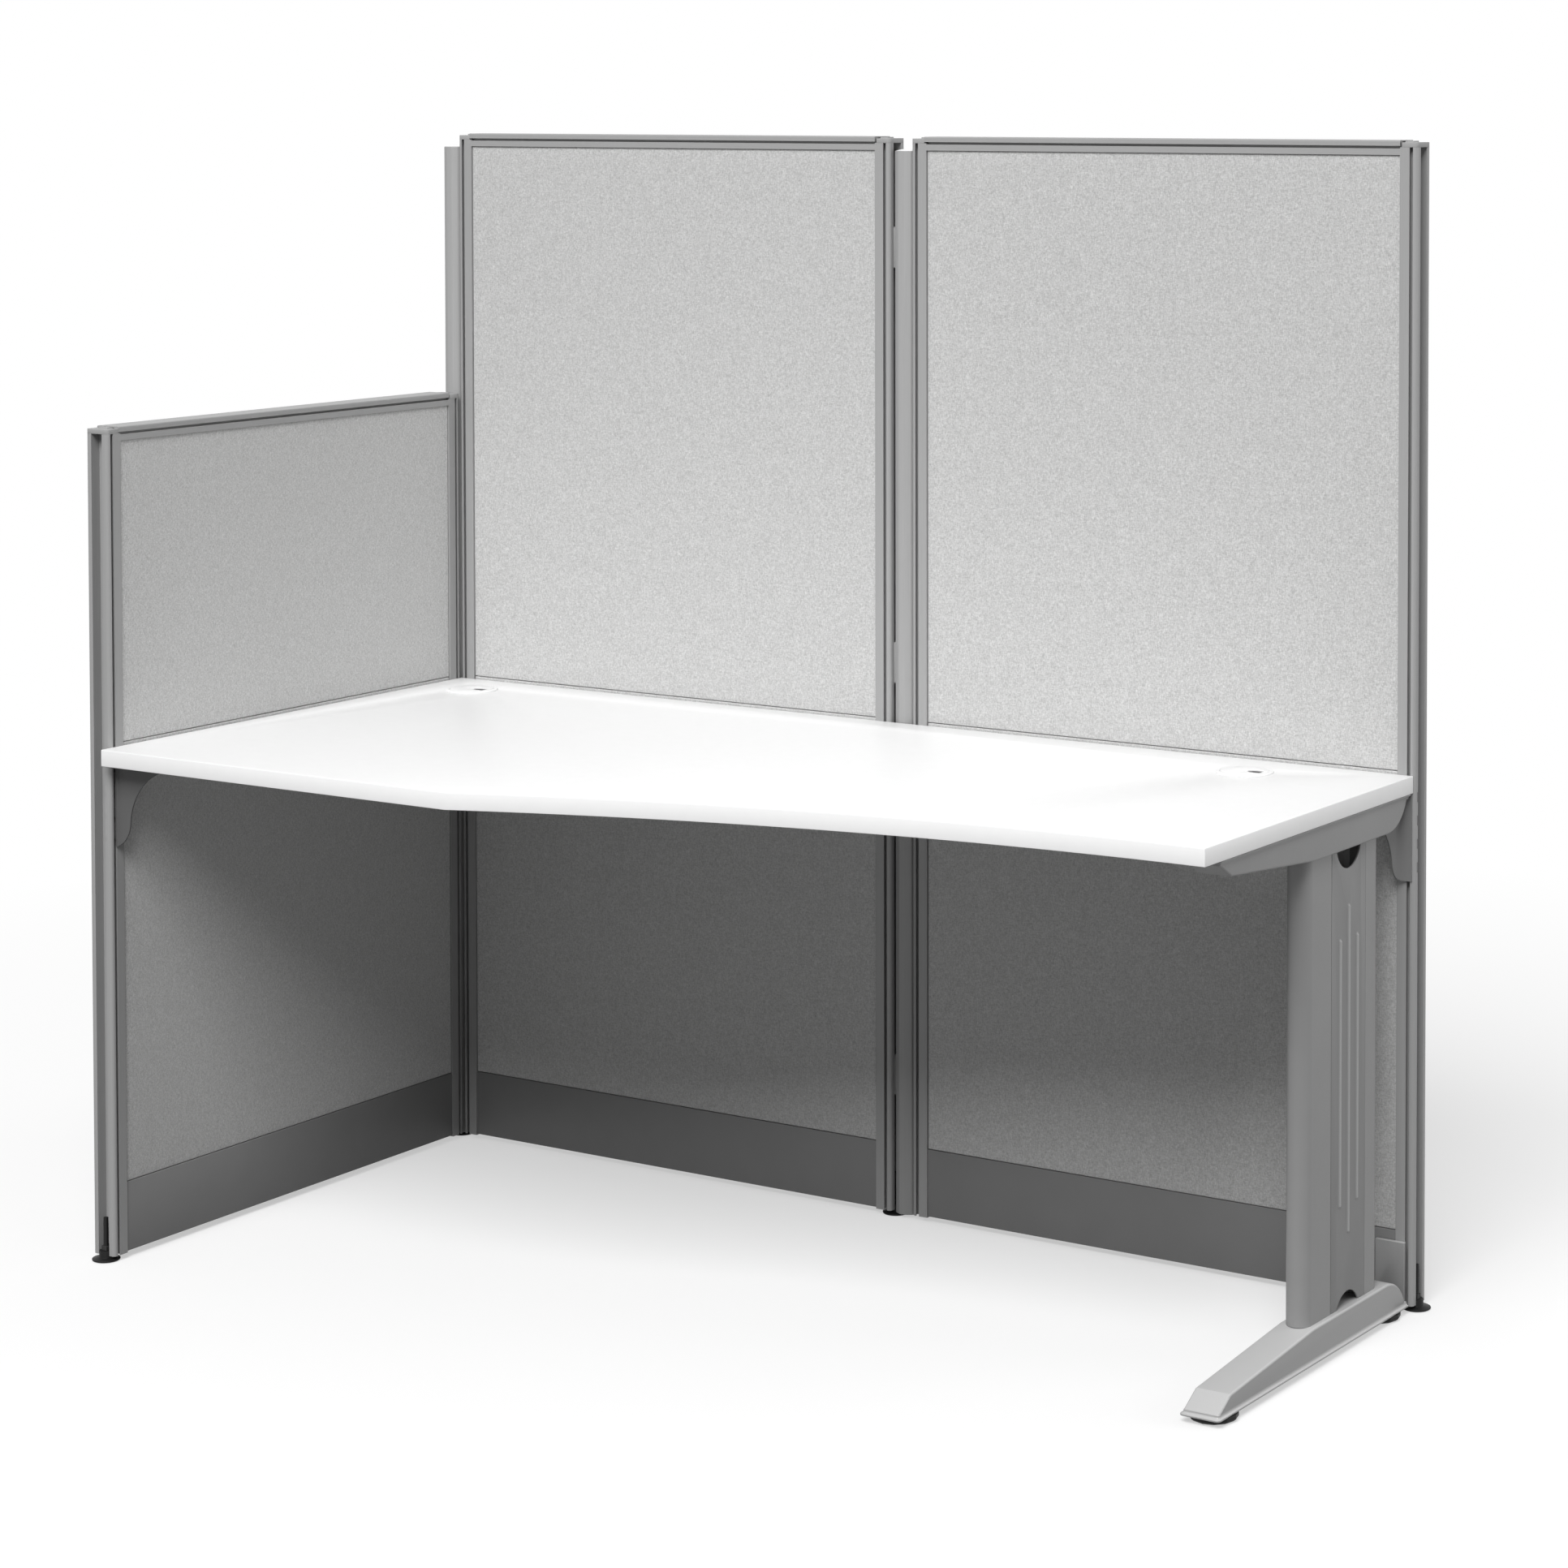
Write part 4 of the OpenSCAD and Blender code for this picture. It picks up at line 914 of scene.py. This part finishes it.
def leg_bracket(node, place):
    """Bracket behind the leg: one wide sweep from the stile's face, its top end against the casting."""
    def under_casting(depth):
        reach = FALL_S - depth - SHEET
        if reach > FALL_R:
            return GUSSET_H
        fall = LEVEL_H - FALL_R + math.sqrt(FALL_R ** 2 - max(reach, 0.0) ** 2)
        return GUSSET_H - max(fall - CASTING_LAP, 0.0)

    sheet = Shell()
    edge = gusset_edge(LEG_WAIST, LEG_HOLLOW_H, LEG_LEAN)
    gusset_sheet(sheet, place, edge, under_casting, LEG_FLANGE_AT, LEG_PLATE_AT, LEG_BEND_R)
    for z in hook_levels():
        for low, high in (
            ((ARM_START, -SLOT_D + ARM_GAP), (ARM_START + ARM_W, SHEET / 2)),
            ((CHAMBER_START, -SLOT_D + ARM_GAP), (ARM_START, -SLOT_D + ARM_GAP + ARM_W)),
            ((CHAMBER_START, -CHANNEL_D - HOOK_OUT), (CHAMBER_START + ARM_W, -SLOT_D + ARM_GAP)),
            ((ARM_GAP, -CHANNEL_D - HOOK_OUT), (CHAMBER_START + ARM_W, -SLOT_D - ARM_GAP)),
        ):
            placed_block(sheet, place, (*low, z), (*high, z + HOOK_H))
    set_piece(f"{node}_bent", sheet.mesh(node), "leg_bracket", BODY, "bracket_paint", node)


desk_bracket("bracket_front_left", side_place)
desk_bracket("bracket_rear_left", left_place)
leg_bracket("bracket_rear_right", right_place)


# Repeated and rule-shaped pieces: the worktop and the screws grown with geometry nodes, the glides turned

class Grower:
    """A geometry node tree whose sizes are named inputs."""

    def __init__(self, name, sizes, finish):
        self.tree = bpy.data.node_groups.new(name, "GeometryNodeTree")
        face = self.tree.interface
        face.new_socket("Geometry", in_out="INPUT", socket_type="NodeSocketGeometry")
        face.new_socket("Geometry", in_out="OUTPUT", socket_type="NodeSocketGeometry")
        self.sizes = {}
        for size, value in sizes.items():
            kind = "NodeSocketInt" if isinstance(value, int) else "NodeSocketFloat"
            self.sizes[size] = (face.new_socket(size, in_out="INPUT", socket_type=kind).identifier, value)
        self.given = self.tree.nodes.new("NodeGroupInput")
        self.finish = finish

    def node(self, kind, inputs=None, **settings):
        """The first output of a new node, with its settings and what goes into it."""
        made = self.tree.nodes.new(kind)
        for key, value in settings.items():
            setattr(made, key, value)
        for socket, value in (inputs or {}).items():
            target = made.inputs[socket]
            if isinstance(value, bpy.types.NodeSocket):
                self.tree.links.new(value, target)
            else:
                target.default_value = value
        return made.outputs[0]

    def join(self, *parts):
        """The parts as one geometry."""
        made = self.tree.nodes.new("GeometryNodeJoinGeometry")
        for part in parts:
            self.tree.links.new(part, made.inputs[0])
        return made.outputs[0]

    def size(self, name):
        """The input of that name."""
        return self.given.outputs[name]

    def math(self, operation, first, second=0.0):
        """The result of an operation on two numbers or outputs."""
        return self.node("ShaderNodeMath", {0: first, 1: second}, operation=operation)

    def moved(self, geometry, place):
        """The geometry moved by place."""
        return self.node("GeometryNodeTransform", {"Geometry": geometry, "Translation": place})

    def grow(self, geometry, seed_mesh=None):
        """Ends the tree, runs it and returns the plain mesh."""
        real = self.node("GeometryNodeRealizeInstances", {"Geometry": geometry})
        painted = self.node("GeometryNodeSetMaterial", {"Geometry": real, "Material": finishes[self.finish]})
        out = self.tree.nodes.new("NodeGroupOutput")
        self.tree.links.new(painted, out.inputs[0])

        def change(bench):
            grown = bench.modifiers.new("grown", "NODES")
            grown.node_group = self.tree
            for identifier, value in self.sizes.values():
                grown[identifier] = value
        return modified(seed_mesh or bpy.data.meshes.new("seed"), change)


# Worktop: radius of the sweep, depth at the leg, radius of the grommets' holes, and the eased edge.
SWEEP_R = 2.8
SWEEP_STEPS = 97
SHALLOW_DEPTH = 587 * MM
HOLE_R = 33 * MM
HOLE_STEPS = 64
DESK_EDGE = 1.2 * MM
DESK_CREASE = 40


def swept_rim(grower):
    """Places of the worktop's rim: the sweep from the leg to its kink, then the front left, rear left and rear
    right corners, with the rear left one at zero."""
    size, calc = grower.size, grower.math
    index = grower.node("GeometryNodeInputIndex")
    share = calc("MINIMUM", calc("DIVIDE", index, calc("SUBTRACT", size("Sweep steps"), 1.0)), 1.0)
    opening = calc("ARCSINE", calc("DIVIDE", size("Kink run"), size("Sweep radius")))
    turn = calc("ADD", calc("MULTIPLY", opening, share), math.pi / 2)
    sweep_x = calc("ADD", size("Length"), calc("MULTIPLY", size("Sweep radius"), calc("COSINE", turn)))
    middle_y = calc("MULTIPLY", calc("ADD", size("Shallow"), size("Sweep radius")), -1.0)
    sweep_y = calc("ADD", middle_y, calc("MULTIPLY", size("Sweep radius"), calc("SINE", turn)))
    is_corner = calc("GREATER_THAN", index, calc("SUBTRACT", size("Sweep steps"), 0.5))
    is_sweep = calc("SUBTRACT", 1.0, is_corner)
    at_front = calc("LESS_THAN", index, calc("ADD", size("Sweep steps"), 0.5))
    at_right = calc("GREATER_THAN", index, calc("ADD", size("Sweep steps"), 1.5))
    corner_x = calc("MULTIPLY", calc("MULTIPLY", size("Length"), at_right), is_corner)
    corner_y = calc("MULTIPLY", calc("MULTIPLY", calc("MULTIPLY", size("Depth"), -1.0), at_front), is_corner)
    return grower.node("ShaderNodeCombineXYZ", {
        "X": calc("ADD", calc("MULTIPLY", sweep_x, is_sweep), corner_x),
        "Y": calc("ADD", calc("MULTIPLY", sweep_y, is_sweep), corner_y)})


def swept_worktop():
    """Worktop: its front runs straight from the side panel, then in one long sweep that ends level at the leg."""
    low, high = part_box("desktop")
    depth = high.y - low.y
    grower = Grower("worktop", {
        "Length": high.x - low.x, "Depth": depth, "Shallow": SHALLOW_DEPTH, "Sweep radius": SWEEP_R,
        "Kink run": math.sqrt(SWEEP_R ** 2 - (SWEEP_R - (depth - SHALLOW_DEPTH)) ** 2),
        "Thickness": high.z - low.z, "Hole radius": HOLE_R, "Sweep steps": SWEEP_STEPS,
    }, "laminate")
    points = grower.node("GeometryNodePoints", {
        "Count": grower.math("ADD", grower.size("Sweep steps"), 3.0), "Position": swept_rim(grower)})
    rim = grower.node("GeometryNodePointsToCurves", {"Points": points})
    outline = [grower.node("GeometryNodeSetSplineCyclic", {"Geometry": rim, "Cyclic": True})]
    for side in ("left", "right"):
        middle = sum(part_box(f"grommet_{side}"), Vector()) / 2
        ring = grower.node("GeometryNodeCurvePrimitiveCircle", {
            "Resolution": HOLE_STEPS, "Radius": grower.size("Hole radius")})
        outline.append(grower.moved(ring, (middle.x - low.x, middle.y - high.y, 0.0)))
    filled = grower.node("GeometryNodeFillCurve", {"Curve": grower.join(*outline)}, mode="NGONS")
    slab = grower.node("GeometryNodeExtrudeMesh", {
        "Mesh": filled, "Offset Scale": grower.size("Thickness"), "Individual": False}, mode="FACES")
    both = grower.join(slab, grower.node("GeometryNodeFlipFaces", {"Mesh": filled}))
    mesh = outward(grower.grow(grower.moved(both, (low.x, high.y, low.z))))
    mesh = modified(mesh, rounding(DESK_EDGE, FINE_STEPS, DESK_CREASE))
    set_piece("desktop_swept", mesh, "laminate", BODY, "desk_laminate", "desktop", crease=DESK_CREASE)


swept_worktop()


# Glides of the leg: grip flats, chamfer and eased edge of the disc, its gap to the casting, and the stem.
GRIP_FLATS = 12
DISC_CHAMFER_W = 4.5 * MM
DISC_CHAMFER_H = 3.5 * MM
DISC_EDGE = 1.0 * MM
DISC_GAP = 0.3 * MM
STEM_R = 5 * MM
STEM_CHAMFER = 1 * MM
STEM_STEPS = 32


def glide(place):
    """Glide of the leg: a disc with grip flats round its rim, and its round stem."""
    node = f"glide_{place}"
    low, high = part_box(node)
    centre = (low + high) / 2
    rim_r = (high.x - low.x) / 2
    disc_top = FLOOR_GAP - DISC_GAP
    disc = Shell().turned([(0.0, 0.0), (rim_r - DISC_CHAMFER_W, 0.0), (rim_r, DISC_CHAMFER_H),
                           (rim_r, disc_top), (0.0, disc_top)], GRIP_FLATS)
    stem = Shell().turned([(0.0, disc_top / 2), (STEM_R, disc_top / 2), (STEM_R, high.z - STEM_CHAMFER),
                           (STEM_R - STEM_CHAMFER, high.z), (0.0, high.z)], STEM_STEPS)
    work = bmesh.new()
    work.from_mesh(modified(disc.mesh("disc"), rounding(DISC_EDGE, FINE_STEPS, BLUNT_ANGLE)))
    work.from_mesh(stem.mesh("stem"))
    mesh = bpy.data.meshes.new(node)
    work.to_mesh(mesh)
    work.free()
    mesh.transform(Matrix.Translation((centre.x, centre.y, 0.0)))
    set_piece(f"{node}_turned", mesh, "black", f"{node}_body", "black_plastic", node)


for place in ("front", "rear"):
    glide(place)


# Pan-head screws under the brackets' flanges: head, socket, count, and place in from the flange's edge.
HEAD_R = 4.4 * MM
HEAD_H = 2.2 * MM
SOCKET_D = 0.45 * HEAD_H
HEAD_STEPS = 24
SCREWS = 2
SCREW_FROM_EDGE = 10 * MM


def flange_screws(bracket, first, pitch):
    """Row of pan-head screws up through a bracket's top flange, from the first head along the pitch."""
    head = Shell().turned([
        (0.0, 0.0), (HEAD_R, 0.0), (HEAD_R, -0.5 * HEAD_H), (0.86 * HEAD_R, -0.85 * HEAD_H),
        (0.6 * HEAD_R, -HEAD_H), (0.4 * HEAD_R, -HEAD_H), (0.34 * HEAD_R, -SOCKET_D), (0.0, -SOCKET_D)], HEAD_STEPS)
    grower = Grower(f"{bracket}_screws", {"Screws": SCREWS}, "steel")
    row = grower.node("GeometryNodeMeshLine", {
        "Count": grower.size("Screws"), "Start Location": first, "Offset": pitch})
    heads = grower.node("GeometryNodeInstanceOnPoints", {"Points": row, "Instance": grower.size("Geometry")})
    set_piece(f"{bracket}_screws", grower.grow(heads, head.mesh("head")), "steel", BODY, "panel_alloy")


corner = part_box("bracket_front_left")[1]
flange_screws("bracket_front_left", (corner.x - GUSSET_REACH / 4, corner.y - SCREW_FROM_EDGE, FLANGE_UNDER),
              (-GUSSET_REACH / 2, 0.0, 0.0))
edge_x, front_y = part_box("bracket_rear_left")[1].x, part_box("bracket_rear_left")[0].y
flange_screws("bracket_rear_left", (edge_x - SCREW_FROM_EDGE, front_y + GUSSET_REACH / 4, FLANGE_UNDER),
              (0.0, GUSSET_REACH / 2, 0.0))


# Studio

# Floor: height, reach, its white and the share of its glow in the picture, the grey that other rays meet, and
# the distances between which it fades to white.
FLOOR_Z = -0.5 * MM
FLOOR_REACH = 30.0
FLOOR_WHITE = 0.93
FLOOR_GLOW = 0.5
FLOOR_DULL = 0.22
FADE_START = 1.3
FADE_STOP = 3.2
# Light of the white dome, and the point that the lamps face.
DOME_LEVEL = 0.29
LAMP_AIM = Vector((0.0, 0.0, 0.8))


def seen_by_camera(tree):
    """1 for rays that show a thing to the camera, by way of gloss and glass too."""
    rays = tree.nodes.new("ShaderNodeLightPath")
    shown = rays.outputs["Is Camera Ray"]
    for kind in ("Is Glossy Ray", "Is Transmission Ray"):
        either = tree.nodes.new("ShaderNodeMath")
        either.operation = "MAXIMUM"
        tree.links.new(shown, either.inputs[0])
        tree.links.new(rays.outputs[kind], either.inputs[1])
        shown = either.outputs[0]
    return shown


def mixed(tree, share, first, second):
    """Mix of two shaders, with the second one's share as a number or an output."""
    mix = tree.nodes.new("ShaderNodeMixShader")
    if isinstance(share, float):
        mix.inputs[0].default_value = share
    else:
        tree.links.new(share, mix.inputs[0])
    tree.links.new(first.outputs[0], mix.inputs[1])
    tree.links.new(second.outputs[0], mix.inputs[2])
    return mix


def add_floor():
    """Pale floor that runs out to white, keeps the shadow and gives little light back."""
    corners = [(x * FLOOR_REACH, y * FLOOR_REACH, FLOOR_Z) for x, y in ((-1, -1), (1, -1), (1, 1), (-1, 1))]
    mesh = plain_mesh("floor", corners, [(0, 1, 2, 3)])
    floor = bpy.data.objects.new("floor", mesh)
    bpy.context.scene.collection.objects.link(floor)
    pale = Finish("floor_white", even(FLOOR_WHITE), 0.9)
    tree = pale.tree
    glow = pale.node("ShaderNodeEmission")
    glow.inputs["Color"].default_value = (1, 1, 1, 1)
    dull = pale.node("ShaderNodeBsdfDiffuse")
    dull.inputs["Color"].default_value = (*even(FLOOR_DULL), 1.0)
    shown = mixed(tree, FLOOR_GLOW, pale.shader, glow)
    distance = pale.node("ShaderNodeVectorMath", operation="LENGTH")
    pale.link(pale.place, distance.inputs[0])
    far = pale.spread(distance.outputs["Value"], 0.0, 1.0, start=FADE_START, stop=FADE_STOP)
    faded = mixed(tree, far, shown, glow)
    whole = mixed(tree, seen_by_camera(tree), dull, faded)
    pale.link(whole.outputs[0], tree.nodes["Material Output"].inputs["Surface"])
    mesh.materials.append(pale.material)


def add_lamp(name, turn, rise, away, size, level):
    """Soft box that lights a white surface square to it to the given level.
    It stands turned from the front towards +X and risen from level, in degrees."""
    data = bpy.data.lights.new(name, "AREA")
    data.shape = "RECTANGLE"
    data.size, data.size_y = size
    data.energy = level * math.pi ** 2 * away ** 2
    lamp = bpy.data.objects.new(name, data)
    turn, rise = math.radians(turn), math.radians(rise)
    side = Vector((math.sin(turn) * math.cos(rise), -math.cos(turn) * math.cos(rise), math.sin(rise)))
    lamp.location = LAMP_AIM + side * away
    lamp.rotation_euler = side.to_track_quat("Z", "Y").to_euler()
    bpy.context.scene.collection.objects.link(lamp)


def add_world():
    """White dome round the scene that gives soft light, and stays white where the camera sees it."""
    world = bpy.data.worlds.new("studio")
    world.use_nodes = True
    tree = world.node_tree
    dome = tree.nodes["Background"]
    dome.inputs["Color"].default_value = (1, 1, 1, 1)
    dome.inputs["Strength"].default_value = DOME_LEVEL
    white = tree.nodes.new("ShaderNodeBackground")
    white.inputs["Color"].default_value = (1, 1, 1, 1)
    whole = mixed(tree, seen_by_camera(tree), dome, white)
    tree.links.new(whole.outputs[0], tree.nodes["World Output"].inputs["Surface"])
    bpy.context.scene.world = world


add_floor()
add_world()
add_lamp("soft_box", turn=15, rise=48, away=14.0, size=(9.0, 7.0), level=1.16)
add_lamp("rim_box", turn=120, rise=12, away=8.0, size=(4.0, 3.0), level=0.22)

bpy.context.scene.view_settings.view_transform = "Standard"
